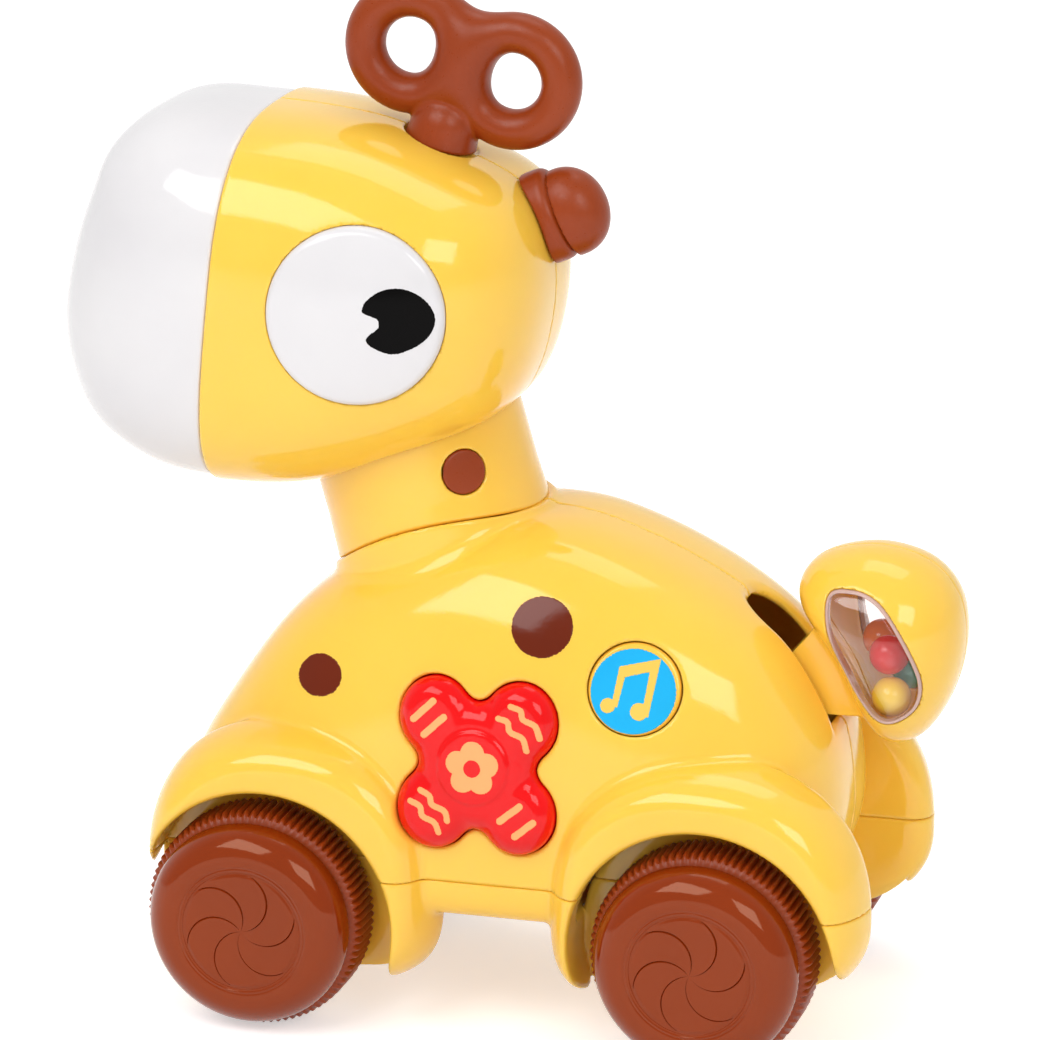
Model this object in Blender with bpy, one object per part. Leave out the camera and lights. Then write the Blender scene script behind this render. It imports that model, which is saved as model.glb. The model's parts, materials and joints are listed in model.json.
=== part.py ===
"""Press and go giraffe: a push toy whose head is pressed down to drive the rear wheels.

The toy faces -X, its left side is -Y and it stands on Z = 0.  Sizes below are in millimetres.
"""
import math

import bmesh
import bpy
from mathutils import Matrix, Vector

MM = 0.001

# Running gap between neighbouring pieces, and the wall of the moulded shells
GAP = 0.3
WALL = 2.0
# How far a cutter runs past the face that it cuts
OVERCUT = 2.0

# Body: outline on the mid-plane (x, z), centre of its sections, half width and roundness
BODY_OUTLINE = [(62.8, 36), (62.4, 50), (59.4, 59.6), (52.4, 70.8), (43, 78.2), (33.9, 83.3), (24.8, 87.2),
                (13.8, 90.4), (2, 90.8), (-8.6, 88.6), (-19.7, 84.2), (-30.8, 77.2), (-40.3, 68.6),
                (-49.7, 55.4), (-56.4, 43.8), (-59.3, 33), (-54, 24), (-40, 19.5), (0, 18.5), (40, 19.5),
                (57, 25)]
BODY_CENTRE = (3.0, 29.6)
BODY_HALF_WIDTH = 32.8
BODY_POWER = 3.2
PARTING_Z = 29.6
FLOOR_Z = 22.0

# Legs: arches round the wheels, drawn on the axle line
FRONT_AXLE_X = -38.2
REAR_AXLE_X = 43.6
FRONT_ARCH_X = -32.6
REAR_ARCH_X = 44.3
ARCH_Z = 27.0
FRONT_ARCH_HALF = 26.2
REAR_ARCH_HALF = 27.2
ARCH_RISE = 25.0
FRONT_FOOT_Z = 7.8
REAR_FOOT_Z = 13.4
LEG_INSET = 11.0
LEG_PROUD = 4.2
LEG_INNER_Y = BODY_HALF_WIDTH - LEG_INSET
LEG_OUTER_Y = BODY_HALF_WIDTH + LEG_PROUD
ARCH_ROUND = 10.0
ARCH_INSET = 4.6
ARCH_FOOT_POWER = 4.0
WELL_CLEARANCE = 2.4
WELL_SHIFT = 2.0

# Wheels
WHEEL_RADIUS = 20.0
WHEEL_RIBS = 36
RIB_DEPTH = 0.8
WHEEL_ROOM = 3.4
TREAD_WIDTH = 10.4
CAP_STEP = 1.6
CAP_HEIGHT = 6.8
WHEEL_INNER_Y = LEG_INNER_Y + WHEEL_ROOM
TREAD_OUTER_Y = WHEEL_INNER_Y + TREAD_WIDTH
CAP_RADIUS = WHEEL_RADIUS - CAP_STEP
CAP_OUTER_Y = TREAD_OUTER_Y + CAP_HEIGHT
CAP_DISC_RADIUS = 12.4
CAP_RECESS = 1.0
CAP_DOME = [(-0.1, 5.4), (0.8, 2.8), (2.6, 0.9), (4.6, 0.0)]
SPIGOT_RADIUS = 8.0
SPIGOT_LENGTH = 4.0
AXLE_RADIUS = 1.5
AXLE_END_Y = TREAD_OUTER_Y - SPIGOT_LENGTH - 2 * GAP

# Neck: a collar that leans forward, its foot on the body's top
NECK_FOOT = (-12.7, 85.0)
NECK_LEAN = math.radians(16)
NECK_RADIUS = 20.0
NECK_BORE = 15.5
SPIGOT_NECK_RADIUS = 17.0
NECK_TOP = 27.0
NECK_TAPER = 0.6
NECK_TAPER_END = 8.0
NECK_SKIRT = -18.0
ROOT_DEPTH = -9.0
RIM_FRONT = (-31.6, 78.4)
RIM_BACK = (6.2, 91.4)
RIM_ARCH = 5.0
RIM_HALF_SPAN = 30.0
RIM_STEPS = 12
NECK_LEDGE = -19.5
NECK_LEDGE_THICKNESS = 2.0
PLUG_RADIUS = 4.0
PLUG_DEPTH = 2.4
PLUG_RISE = 12.0
PLUG_TURN = math.radians(52)

# Head: outline in its own frame (forward, up), tilted nose-up; the muzzle's seam is tilted less
HEAD_OUTLINE = [(31.4, 3), (30.2, 13), (27.8, 22.6), (20, 30.6), (6, 33.6), (-8, 35.6), (-20, 36), (-33, 34),
                (-43.6, 31.4), (-49.6, 26.6), (-53, 18.8), (-54.6, 10), (-54.2, -0.6), (-50.6, -8.8),
                (-38.4, -19.2), (-20, -29.4), (0, -33.8), (12.6, -32.6), (22.6, -27.2), (28.9, -17.2),
                (31.3, -8)]
HEAD_PLACE = (-48.0, 127.6)
HEAD_TILT = math.radians(11.5)
SEAM_PLACE = (-46.6, 127.6)
SEAM_TILT = math.radians(5.6)
HEAD_CENTRE = (-11.0, 1.0)
HEAD_HALF_WIDTH = 33.0
HEAD_POWER = 3.0
MUZZLE_STEP = 0.5
MUZZLE_SPIGOT = 4.0

# Eyes: domed discs let into the sides of the head
EYE_X = -25.6
EYE_Z = 130.7
EYE_RADIUS = 15.7
EYE_TURN = math.radians(11)
EYE_PROUD = 0.9

# Winding key on top of the head
KEY_FOOT = (-13.4, 155.0)
KEY_LEAN = math.radians(16.3)
KEY_HOLE_RADIUS = 5.0
KEY_RIM_RADIUS = 3.65
KEY_HOLE_SPACING = 19.3
KEY_HOLE_HEIGHT = 15.4
KEY_STEM_RADIUS = 6.6
KEY_SHAFT_RADIUS = 3.0
KEY_SHAFT_LENGTH = 7.0
STEM_BASE = 0.4
STEM_DOME = [(0.2, 4.0), (1.2, 7.0), (3.2, 9.4), (5.6, 10.4)]
WASHER_LOW = -5.6
WASHER_THICKNESS = 1.2
WASHER_RIM = 3.0

# Mane tuft behind the head
TUFT_BASE = (3.3, 142.0)
TUFT_RISE = math.radians(23.5)
TUFT_HALF_HEIGHT = 8.0
TUFT_HALF_WIDTH = 5.8
TUFT_SHANK = 5.0
TUFT_SHANK_END = 7.0
TUFT_SHANK_PART = 0.62
TUFT_ROLLS = [(0.0, 0.94), (0.9, 0.97), (2.2, 1.06), (3.8, 1.08), (5.4, 0.93), (6.4, 0.99), (8.0, 0.98),
              (10.4, 0.86), (12.6, 0.62), (14.0, 0.34)]

# Plunger, rack and gears
GEAR_MODULE = 1.5
ADDENDUM = 0.8 * GEAR_MODULE
DEDENDUM = 1.15 * GEAR_MODULE
TOOTH_ROOT = 0.27
TOOTH_TIP = 0.09
PISTON_AT = 12.0
PISTON_THICKNESS = 3.0
ROD_RADIUS = 5.0
COLUMN_RADIUS = 8.0
RACK_TOP = -25.0
RACK_BOTTOM = -46.0
RACK_BACK = -4.0
RACK_PITCH_LINE = 5.0
PINION_AT = -40.0
PINION_TEETH = 10
FIRST_GEAR_TEETH = 24
SECOND_PINION_TEETH = 8
SECOND_GEAR_TEETH = 20
CLUTCH_TEETH = 10
PINION_HALF_FACE = 3.6
GEAR_FACE = 3.4
SIDE_GEAR_Y = 5.8
GEAR_ROOM = 0.9
HUB_WALL = 1.6
SHAFT_RADIUS = 1.5
PLATE_Y = 10.4
PLATE_THICKNESS = 2.0
PLATE_MARGIN = 5.0
SPRING_RADIUS = 11.5
SPRING_WIRE = 0.7
SPRING_TURNS = 6
SPRING_STEPS = 9
SPRING_SIDES = 6

# Flower button (x, z), tilted up with the body's side
FLOWER_AT = (2.5, 51.7)
FLOWER_PROUD = 1.2
FLOWER_TILT = math.radians(6.0)
PETAL_RADIUS = 7.2
PETAL_REACH = 11.6
FLOWER_WAIST = 11.4
FLOWER_SQUEEZE = 0.93
FLOWER_DEPTH = 6.0
FLOWER_FLANGE = 1.4
FLOWER_FLANGE_DEPTH = 1.2
FLOWER_TRAVEL = 1.6
FLOWER_EDGE = [(0.0, -0.9), (-0.5, 0.3), (-1.6, 1.1), (-3.2, 1.5)]

# Music button
MUSIC_AT = (29.6, 66.2)
MUSIC_SINK = 2.2
MUSIC_TILT_UP = math.radians(19)
MUSIC_TURN = math.radians(14)
MUSIC_RADIUS = 8.2
MUSIC_DEPTH = 3.0
MUSIC_FLANGE = 1.2
MUSIC_TRAVEL = 1.4
MUSIC_EDGE = [(0.0, -0.9), (-0.5, -0.4)]

# Circuit board behind the buttons
BOARD_OUTLINE = [(-11.0, 45.0), (37.0, 45.0), (37.0, 74.0), (16.0, 74.0), (16.0, 59.0), (-11.0, 59.0)]
BOARD_ROOM = 1.4
BOARD_THICKNESS = 1.6
BOARD_Y = -(PLATE_Y + PLATE_THICKNESS + BOARD_ROOM + BOARD_THICKNESS / 2)
BOARD_POSTS = [(21.0, 48.0), (34.0, 50.0), (18.5, 72.0)]
POST_RADIUS = 2.2
PAD_RADIUS = 4.0
PAD_FOOT_RADIUS = 5.6

# Speaker and battery cells
SPEAKER_X = -40.0
SPEAKER_RADIUS = 8.6
SPEAKER_RIM = 1.6
SPEAKER_MAGNET = 5.0
SPEAKER_HEIGHT = 6.0
CELL_RADIUS = 5.8
CELL_LENGTH = 5.4
CELL_COUNT = 3
CELL_X = -18.0
CELL_STEP = 0.6
CELL_BUTTON = 1.0
BAY_RIM = 1.0
DOOR_LENGTH = 18.0
DOOR_WIDTH = 24.0
DOOR_THICKNESS = 1.6
DOOR_SCREW_INSET = 3.4
SCREW_RADIUS = 1.2
SCREW_HEAD_RADIUS = 2.4
SCREW_HEAD_HEIGHT = 1.4
BASE_SCREW_X = (-25.0, 30.0)
BASE_SCREW_INSET = 2.6
BASE_SCREW_Y = LEG_INNER_Y - BASE_SCREW_INSET
BASE_SCREWS = [(x, side * BASE_SCREW_Y) for x in BASE_SCREW_X for side in (-1, 1)]
BASE_BOSS_RADIUS = 3.6
UPPER_BOSS_HEIGHT = 9.0
SCREW_BITE = 6.0
BEAM_HALF_LENGTH = 5.0
BEAM_DROP = 5.0

# Tail: swings on a pin inside the body, through a slot in its back
TAIL_PIN = (43.0, 57.0)
TAIL_OUTLINE = [(53.2, 78.2), (56.4, 73.2), (60.8, 66.8), (65.2, 58), (70, 52.6), (76, 54.6), (80.8, 62.4),
                (82.8, 71.8), (81.4, 80.2), (76, 86), (67, 88.2), (58, 86.4), (53.6, 82.6)]
TAIL_CENTRE = (69.0, 71.5)
TAIL_HALF_WIDTH = 15.0
TAIL_POWER = 2.2
TAIL_WALL = 1.8
TAIL_HUB_RADIUS = 3.8
TAIL_STEM_FROM = math.radians(2)
TAIL_STEM_TO = math.radians(50)
TAIL_STEM_REACH = 22.5
TAIL_STEM_HALF_WIDTH = 5.4
SLOT_FROM = math.radians(-3)
SLOT_TO = math.radians(88)
SLOT_HALF_WIDTH = 6.4
SLOT_REACH = 34.0
SLOT_ROOT = 9.0
PIN_HALF_LENGTH = 12.0
WINDOW_OUTLINE = [(60.1, 80.7), (64.6, 82.6), (69.8, 80.8), (74.4, 74.8), (77.2, 67.4), (76, 61.6),
                  (71.2, 58.8), (67.1, 61.8), (62, 70.3)]
BEAD_RADIUS = 3.6
BEADS = {"bead_red": (70.1, -5.3, 69.6), "bead_teal": (73.0, 0.3, 65.6), "bead_yellow": (70.8, -6.0, 62.2),
         "bead_orange": (67.4, 1.6, 70.3)}

# Mesh fineness: outer faces, inner faces of the shells, round pieces, small round pieces
OUTLINE_STEPS = 34
SIDE_RINGS = 12
INNER_STEPS = 18
INNER_RINGS = 6
TAIL_STEPS = 20
ROUND_STEPS = 24
MIDDLE_STEPS = 16
SMALL_STEPS = 10
KEY_RIM_STEPS = 18
KEY_RIM_SIDES = 8
LEG_ROUND_STEPS = 5
SECTOR_STEPS = 8
FLOWER_STEPS = 32
FLAT_ANGLE = math.radians(0.1)
SHARP_ANGLE = math.radians(35)


def clear_scene():
    for old in list(bpy.data.objects):
        bpy.data.objects.remove(old, do_unlink=True)


def collection(name):
    made = bpy.data.collections.new(name)
    bpy.context.scene.collection.children.link(made)
    return made


def material(name, colour, roughness, metallic=0.0, alpha=1.0):
    made = bpy.data.materials.new(name)
    made.use_nodes = True
    shader = made.node_tree.nodes["Principled BSDF"]
    shader.inputs["Base Color"].default_value = (*colour, 1.0)
    shader.inputs["Roughness"].default_value = roughness
    shader.inputs["Metallic"].default_value = metallic
    shader.inputs["Alpha"].default_value = alpha
    made.diffuse_color = (*colour, alpha)
    return made


clear_scene()
PARTS = collection("press_and_go_giraffe")
CUTTERS = collection("cutters")
YELLOW = material("yellow_plastic", (0.97, 0.66, 0.11), 0.25)
WHITE = material("white_plastic", (0.86, 0.85, 0.86), 0.25)
BROWN = material("brown_plastic", (0.28, 0.062, 0.022), 0.35)
RED = material("red_plastic", (0.83, 0.018, 0.022), 0.15)
CLEAR = material("clear_plastic", (0.95, 0.78, 0.72), 0.05, alpha=0.35)
STEEL = material("steel", (0.6, 0.6, 0.6), 0.3, metallic=1.0)
NYLON = material("nylon", (0.8, 0.78, 0.72), 0.45)
SILICONE = material("silicone", (0.55, 0.55, 0.56), 0.7)
BOARD = material("circuit_board", (0.03, 0.22, 0.09), 0.5)
BLACK = material("black_plastic", (0.03, 0.03, 0.03), 0.5)
BEAD_COLOURS = {"bead_red": (0.75, 0.03, 0.04), "bead_teal": (0.12, 0.5, 0.48),
                "bead_yellow": (0.9, 0.72, 0.12), "bead_orange": (0.9, 0.3, 0.08)}


# Mesh helpers: points are given in millimetres

def make_object(name, mesh_builder, finish, parts=True):
    mesh = bpy.data.meshes.new(name)
    bmesh.ops.recalc_face_normals(mesh_builder, faces=mesh_builder.faces)
    bmesh.ops.scale(mesh_builder, vec=(MM, MM, MM), verts=mesh_builder.verts)
    mesh_builder.to_mesh(mesh)
    mesh_builder.free()
    made = bpy.data.objects.new(name, mesh)
    (PARTS if parts else CUTTERS).objects.link(made)
    if finish:
        mesh.materials.append(finish)
    if not parts:
        made.hide_render = True
        made.display_type = "WIRE"
    return made


def bridge(builder, low, high):
    """Joins two rings of vertices by triangles."""
    count = len(low)
    for k in range(count):
        nxt = (k + 1) % count
        builder.faces.new((low[k], low[nxt], high[nxt]))
        builder.faces.new((low[k], high[nxt], high[k]))


def loft(name, rings, finish=None, parts=True):
    """Joins closed rings of equal count and caps both ends."""
    builder = bmesh.new()
    rows = [[builder.verts.new(p) for p in ring] for ring in rings]
    for low, high in zip(rows, rows[1:]):
        bridge(builder, low, high)
    builder.faces.new(rows[0][::-1])
    builder.faces.new(rows[-1])
    return make_object(name, builder, finish, parts)


def ring_stack(name, rings, finish=None, parts=True):
    """Joins closed rings in a loop, the last to the first, for a piece with a hole through it."""
    builder = bmesh.new()
    rows = [[builder.verts.new(p) for p in ring] for ring in rings]
    for index, low in enumerate(rows):
        bridge(builder, low, rows[(index + 1) % len(rows)])
    return make_object(name, builder, finish, parts)


def closed_spline(points, count):
    """Samples a smooth closed curve through the points."""
    total = len(points)
    sampled = []
    for step in range(count):
        place = step * total / count
        index = int(place)
        t = place - index
        p0, p1, p2, p3 = (Vector(points[(index + k - 1) % total]) for k in range(4))
        sampled.append(0.5 * (2 * p1 + (p2 - p0) * t + (2 * p0 - 5 * p1 + 4 * p2 - p3) * t ** 2
                              + (3 * p1 - p0 - 3 * p2 + p3) * t ** 3))
    return sampled


def grown(points, distance):
    """Moves each point of a closed outline, listed anticlockwise, outward along its normal."""
    moved = []
    total = len(points)
    for index, point in enumerate(points):
        along = (points[(index + 1) % total] - points[index - 1]).normalized()
        moved.append(point + distance * Vector((along.y, -along.x)))
    return moved


def inflated(name, outline, centre, half_width, power, place, finish=None, parts=True, rings=SIDE_RINGS):
    """Swells a mid-plane outline to both sides; place maps outline points to x, z."""
    middle = Vector(centre)
    rows = []
    for k in range(1, rings):
        angle = math.pi * (k / rings - 0.5)
        side = math.copysign(abs(math.sin(angle)) ** (2 / power), angle) * half_width
        shrink = math.cos(angle) ** (2 / power)
        row = []
        for point in outline:
            x, z = place(middle + shrink * (point - middle))
            row.append((x, side, z))
        rows.append(row)
    builder = bmesh.new()
    verts = [[builder.verts.new(p) for p in row] for row in rows]
    count = len(outline)
    for low, high in zip(verts, verts[1:]):
        bridge(builder, low, high)
    x, z = place(middle)
    for row, side in ((verts[0], -half_width), (verts[-1], half_width)):
        pole = builder.verts.new((x, side, z))
        for k in range(count):
            builder.faces.new((row[k], row[(k + 1) % count], pole))
    return make_object(name, builder, finish, parts)


def circle(radius, steps):
    return [Vector((radius * math.cos(2 * math.pi * k / steps), radius * math.sin(2 * math.pi * k / steps)))
            for k in range(steps)]


def turned(profile, frame, steps=ROUND_STEPS):
    """Rings of the (radius, height) points turned round the frame's Z axis."""
    return [[frame @ Vector((r * p.x, r * p.y, h)) for p in circle(1.0, steps)] for r, h in profile]


def rod(name, radius, low, high, frame, finish=None, parts=True, steps=ROUND_STEPS):
    return loft(name, turned([(radius, low), (radius, high)], frame, steps), finish, parts)


def tube(name, profile, frame, finish=None, parts=True, steps=ROUND_STEPS):
    return ring_stack(name, turned(profile, frame, steps), finish, parts)


def prism(name, outline, low_y, high_y, finish=None, parts=True):
    """Extrudes an (x, z) outline along Y."""
    rings = [[Vector((p[0], y, p[1])) for p in outline] for y in (low_y, high_y)]
    return loft(name, rings, finish, parts)


def block(name, low, high, finish=None, parts=True):
    builder = bmesh.new()
    bmesh.ops.create_cube(builder, size=1.0)
    size = Vector(high) - Vector(low)
    bmesh.ops.scale(builder, vec=size, verts=builder.verts)
    bmesh.ops.translate(builder, vec=(Vector(high) + Vector(low)) / 2, verts=builder.verts)
    return make_object(name, builder, finish, parts)


def boolean(target, other, operation):
    step = target.modifiers.new(operation.lower(), "BOOLEAN")
    step.operation = operation
    step.object = other
    step.solver = "MANIFOLD"
    return target


def settle(target, *tools):
    """Turns the modifiers of a piece into its mesh and drops the tools that shaped it."""
    depsgraph = bpy.context.evaluated_depsgraph_get()
    shaped = bpy.data.meshes.new_from_object(target.evaluated_get(depsgraph))
    builder = bmesh.new()
    builder.from_mesh(shaped)
    bmesh.ops.dissolve_limit(builder, angle_limit=FLAT_ANGLE, verts=builder.verts, edges=builder.edges)
    bmesh.ops.triangulate(builder, faces=builder.faces)
    builder.to_mesh(shaped)
    builder.free()
    target.modifiers.clear()
    target.data = shaped
    for tool in tools:
        bpy.data.objects.remove(tool, do_unlink=True)
    return target


def combined(target, operation, *tools):
    for tool in tools:
        boolean(target, tool, operation)
    return settle(target, *tools)


def copied(source, name, finish):
    made = bpy.data.objects.new(name, source.data.copy())
    made.data.name = name
    made.data.materials.clear()
    made.data.materials.append(finish)
    PARTS.objects.link(made)
    return made


def mirrored(source, name, finish):
    """The same piece for the other side of the mid-plane."""
    made = copied(source, name, finish)
    made.data.transform(Matrix.Scale(-1, 4, (0, 1, 0)))
    made.data.flip_normals()
    return made


def put_origin(piece, x, y, z):
    """Moves a piece's origin to a point of the toy, its shape staying where it is."""
    point = Vector((x, y, z)) * MM
    piece.data.transform(Matrix.Translation(-point))
    piece.location = point


def axis_frame(origin, direction):
    """A frame at the origin whose Z runs along the direction."""
    turn = Vector(direction).normalized().to_track_quat("Z", "Y").to_matrix().to_4x4()
    return Matrix.Translation(Vector(origin)) @ turn


def plain_place(point):
    return point.x, point.y


def centre_over_origin():
    """Moves all pieces so that the middle of the toy's length is over the origin."""
    places = [piece.location.x + vert.co.x for piece in PARTS.objects for vert in piece.data.vertices]
    middle = (min(places) + max(places)) / 2
    for piece in PARTS.objects:
        piece.location.x -= middle


def smooth_round():
    for piece in PARTS.objects:
        piece.data.shade_smooth()
        piece.data.set_sharp_from_angle(angle=SHARP_ANGLE)


# Frames shared by several pieces
NECK_AXIS = Vector((-math.sin(NECK_LEAN), 0, math.cos(NECK_LEAN)))
NECK_BACK = Vector((math.cos(NECK_LEAN), 0, math.sin(NECK_LEAN)))
NECK_ORIGIN = Vector((NECK_FOOT[0], 0, NECK_FOOT[1]))
NECK_FRAME = Matrix((NECK_BACK, (0, 1, 0), NECK_AXIS)).transposed().to_4x4()
NECK_FRAME.translation = NECK_ORIGIN
KEY_AXIS = Vector((math.sin(KEY_LEAN), 0, math.cos(KEY_LEAN)))
KEY_FRAME = axis_frame((KEY_FOOT[0], 0, KEY_FOOT[1]), KEY_AXIS)
KEY_ACROSS = Vector((math.cos(KEY_LEAN), 0, -math.sin(KEY_LEAN)))
KEY_UPRIGHT = Matrix((KEY_ACROSS, (0, 1, 0), KEY_AXIS)).transposed().to_4x4()
KEY_UPRIGHT.translation = Vector((KEY_FOOT[0], 0, KEY_FOOT[1]))
BIG = 300.0
HALF_GAP = GAP / 2


def tilted(point, place, tilt):
    """A point given as (forward, up) from a place, tilted nose-up, to the toy's x, z."""
    forward = Vector((-math.cos(tilt), math.sin(tilt)))
    up = Vector((math.sin(tilt), math.cos(tilt)))
    spot = Vector(place) + forward * point.x + up * point.y
    return spot.x, spot.y


def head_place(point):
    return tilted(point, HEAD_PLACE, HEAD_TILT)


def anticlockwise(points):
    area = sum(a.x * b.y - b.x * a.y for a, b in zip(points, points[1:] + points[:1]))
    return points if area > 0 else points[::-1]


def swelled(name, outline, offset, centre, half_width, power, place, steps):
    """A form grown by an offset; inner forms, set in by a wall, are coarser."""
    inner = offset < -MUZZLE_STEP
    curve = anticlockwise(closed_spline(outline, INNER_STEPS if inner else steps))
    return inflated(name, grown(curve, offset), centre, half_width + offset, power, place, parts=False,
                    rings=INNER_RINGS if inner else SIDE_RINGS)


def body_form(name, offset):
    return swelled(name, BODY_OUTLINE, offset, BODY_CENTRE, BODY_HALF_WIDTH, BODY_POWER, plain_place,
                   OUTLINE_STEPS)


def head_form(name, offset):
    return swelled(name, HEAD_OUTLINE, offset, HEAD_CENTRE, HEAD_HALF_WIDTH, HEAD_POWER, head_place,
                   OUTLINE_STEPS)


def tail_form(name, offset):
    return swelled(name, TAIL_OUTLINE, offset, TAIL_CENTRE, TAIL_HALF_WIDTH, TAIL_POWER, plain_place,
                   TAIL_STEPS)


def body_side(x, z):
    """Half width of the body's outer face at a place seen from the side."""
    curve = closed_spline(BODY_OUTLINE, OUTLINE_STEPS)
    centre = Vector(BODY_CENTRE)
    aim = Vector((x, z)) - centre
    share = 0.0
    for a, b in zip(curve, curve[1:] + curve[:1]):
        span = b - a
        turn = aim.x * span.y - aim.y * span.x
        if turn == 0:
            continue
        reach = ((a.x - centre.x) * span.y - (a.y - centre.y) * span.x) / turn
        along = ((a.x - centre.x) * aim.y - (a.y - centre.y) * aim.x) / turn
        if reach > 0 and 0 <= along < 1:
            share = 1 / reach
    return BODY_HALF_WIDTH * (1 - share ** BODY_POWER) ** (1 / BODY_POWER)


# Body: shared blank, then two upper halves and the lower shell

WHEEL_PLACES = {"front_left": (FRONT_AXLE_X, -1), "front_right": (FRONT_AXLE_X, 1),
                "rear_left": (REAR_AXLE_X, -1), "rear_right": (REAR_AXLE_X, 1)}
WELL_RADIUS = WHEEL_RADIUS + WELL_CLEARANCE


def arch_outline(half_length, foot_z, inset):
    """Arch seen from the side: round on top, squarer under the parting line, flat at the foot."""
    points = []
    for k in range(ROUND_STEPS):
        angle = 2 * math.pi * k / ROUND_STEPS
        across, rise = math.cos(angle), math.sin(angle)
        if rise < 0:
            size = (abs(across) ** ARCH_FOOT_POWER + abs(rise) ** ARCH_FOOT_POWER) ** (-1 / ARCH_FOOT_POWER)
            across, rise = across * size, rise * size
        height = rise * (ARCH_RISE - inset if rise > 0 else ARCH_Z - foot_z)
        points.append(Vector(((half_length - inset) * across, height)))
    return points


def leg(name, arch_x, half_length, foot_z, side):
    steps = [(LEG_INNER_Y, 0.0)]
    for k in range(LEG_ROUND_STEPS + 1):
        angle = math.pi / 2 * k / LEG_ROUND_STEPS
        steps.append((LEG_OUTER_Y - ARCH_ROUND * (1 - math.sin(angle)), ARCH_INSET * (1 - math.cos(angle))))
    rings = [[(arch_x + p.x, side * y, ARCH_Z + p.y) for p in arch_outline(half_length, foot_z, inset)]
             for y, inset in steps]
    return loft(name, rings, parts=False)


def well_x(axle_x):
    return axle_x + (WELL_SHIFT if axle_x < 0 else 0.0)


def well(name, axle_x, side, growth):
    low = LEG_INNER_Y + WALL + GAP - growth
    frame = axis_frame((well_x(axle_x), 0, WHEEL_RADIUS), (0, side, 0))
    return rod(name, WELL_RADIUS + growth, low, LEG_OUTER_Y + 4 * OVERCUT, frame, parts=False)


def front_mouth(name, side):
    """Opens the front arch forward of its wheel, under the parting line."""
    near, far = sorted((side * (LEG_INNER_Y + WALL + GAP), side * BIG))
    return block(name, (-BIG, near, -BIG), (well_x(FRONT_AXLE_X), far, PARTING_Z), parts=False)


def below_rim(name, rise):
    """The room below the collar's foot, whose rim is higher at the sides than on the mid-plane."""
    slope = (RIM_BACK[1] - RIM_FRONT[1]) / (RIM_BACK[0] - RIM_FRONT[0])
    across = [RIM_HALF_SPAN * (2 * k / RIM_STEPS - 1) for k in range(RIM_STEPS + 1)]
    rings = []
    for x in (-BIG, BIG):
        middle = RIM_FRONT[1] + slope * (x - RIM_FRONT[0]) + rise
        ring = [(x, y, middle + RIM_ARCH * (y / NECK_RADIUS) ** 2) for y in across]
        rings.append(ring + [(x, RIM_HALF_SPAN, middle - BIG), (x, -RIM_HALF_SPAN, middle - BIG)])
    return loft(name, rings, parts=False)


def body_blank():
    blank = body_form("body_blank", 0.0)
    combined(blank, "INTERSECT", block("above_floor", (-BIG, -BIG, FLOOR_Z), (BIG, BIG, BIG), parts=False))
    legs = []
    for corner, (axle_x, side) in WHEEL_PLACES.items():
        arch = (REAR_ARCH_X, REAR_ARCH_HALF, REAR_FOOT_Z)
        if axle_x < 0:
            arch = (FRONT_ARCH_X, FRONT_ARCH_HALF, FRONT_FOOT_Z)
        legs.append(leg("leg_" + corner, *arch, side))
    root = rod("neck_root", NECK_RADIUS + NECK_TAPER, ROOT_DEPTH, NECK_TOP, NECK_FRAME, parts=False)
    combined(root, "INTERSECT", below_rim("root_top", -HALF_GAP))
    combined(blank, "UNION", root, *legs)
    cavity = body_form("body_cavity", -WALL)
    combined(cavity, "INTERSECT",
             block("above_inside", (-BIG, -BIG, FLOOR_Z + WALL), (BIG, BIG, BIG), parts=False))
    jackets = [well("jacket_" + c, x, s, WALL) for c, (x, s) in WHEEL_PLACES.items()]
    combined(cavity, "DIFFERENCE", *jackets)
    wells = [well("well_" + c, x, s, 0.0) for c, (x, s) in WHEEL_PLACES.items()]
    mouths = [front_mouth("front_mouth", side) for side in (-1, 1)]
    return combined(blank, "DIFFERENCE", cavity, *wells, *mouths)


def flower_outline(growth):
    """Four round petals on a cross, joined at the waist."""
    points = []
    for k in range(FLOWER_STEPS):
        angle = 2 * math.pi * k / FLOWER_STEPS
        reach = FLOWER_WAIST
        for petal in range(4):
            off = angle - math.pi / 4 - petal * math.pi / 2
            inside = PETAL_RADIUS ** 2 - (PETAL_REACH * math.sin(off)) ** 2
            if inside > 0 and math.cos(off) > 0:
                reach = max(reach, PETAL_REACH * math.cos(off) + math.sqrt(inside))
        points.append(Vector(((FLOWER_SQUEEZE * reach + growth) * math.cos(angle),
                              (reach + growth) * math.sin(angle))))
    return points


FLOWER_AXIS = Vector((0, -math.cos(FLOWER_TILT), math.sin(FLOWER_TILT)))
MUSIC_AXIS = Vector((math.sin(MUSIC_TURN) * math.cos(MUSIC_TILT_UP),
                     -math.cos(MUSIC_TURN) * math.cos(MUSIC_TILT_UP), math.sin(MUSIC_TILT_UP)))


def face_frame(at, face_y, axis):
    """A frame on a button's face: its X runs to the toy's rear and its Z along the button's axis."""
    ahead = (Vector((1, 0, 0)) - axis * axis.x).normalized()
    frame = Matrix((ahead, axis.cross(ahead), axis)).transposed().to_4x4()
    frame.translation = Vector((at[0], face_y, at[1]))
    return frame


FLOWER_FRAME = face_frame(FLOWER_AT, -body_side(*FLOWER_AT) - FLOWER_PROUD, FLOWER_AXIS)
MUSIC_FRAME = face_frame(MUSIC_AT, MUSIC_SINK - body_side(*MUSIC_AT), MUSIC_AXIS)


def framed_rings(frame, sections):
    """Rings of outline points, each section (outline, height), in a frame."""
    return [[frame @ Vector((p.x, p.y, height)) for p in outline] for outline, height in sections]


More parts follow.
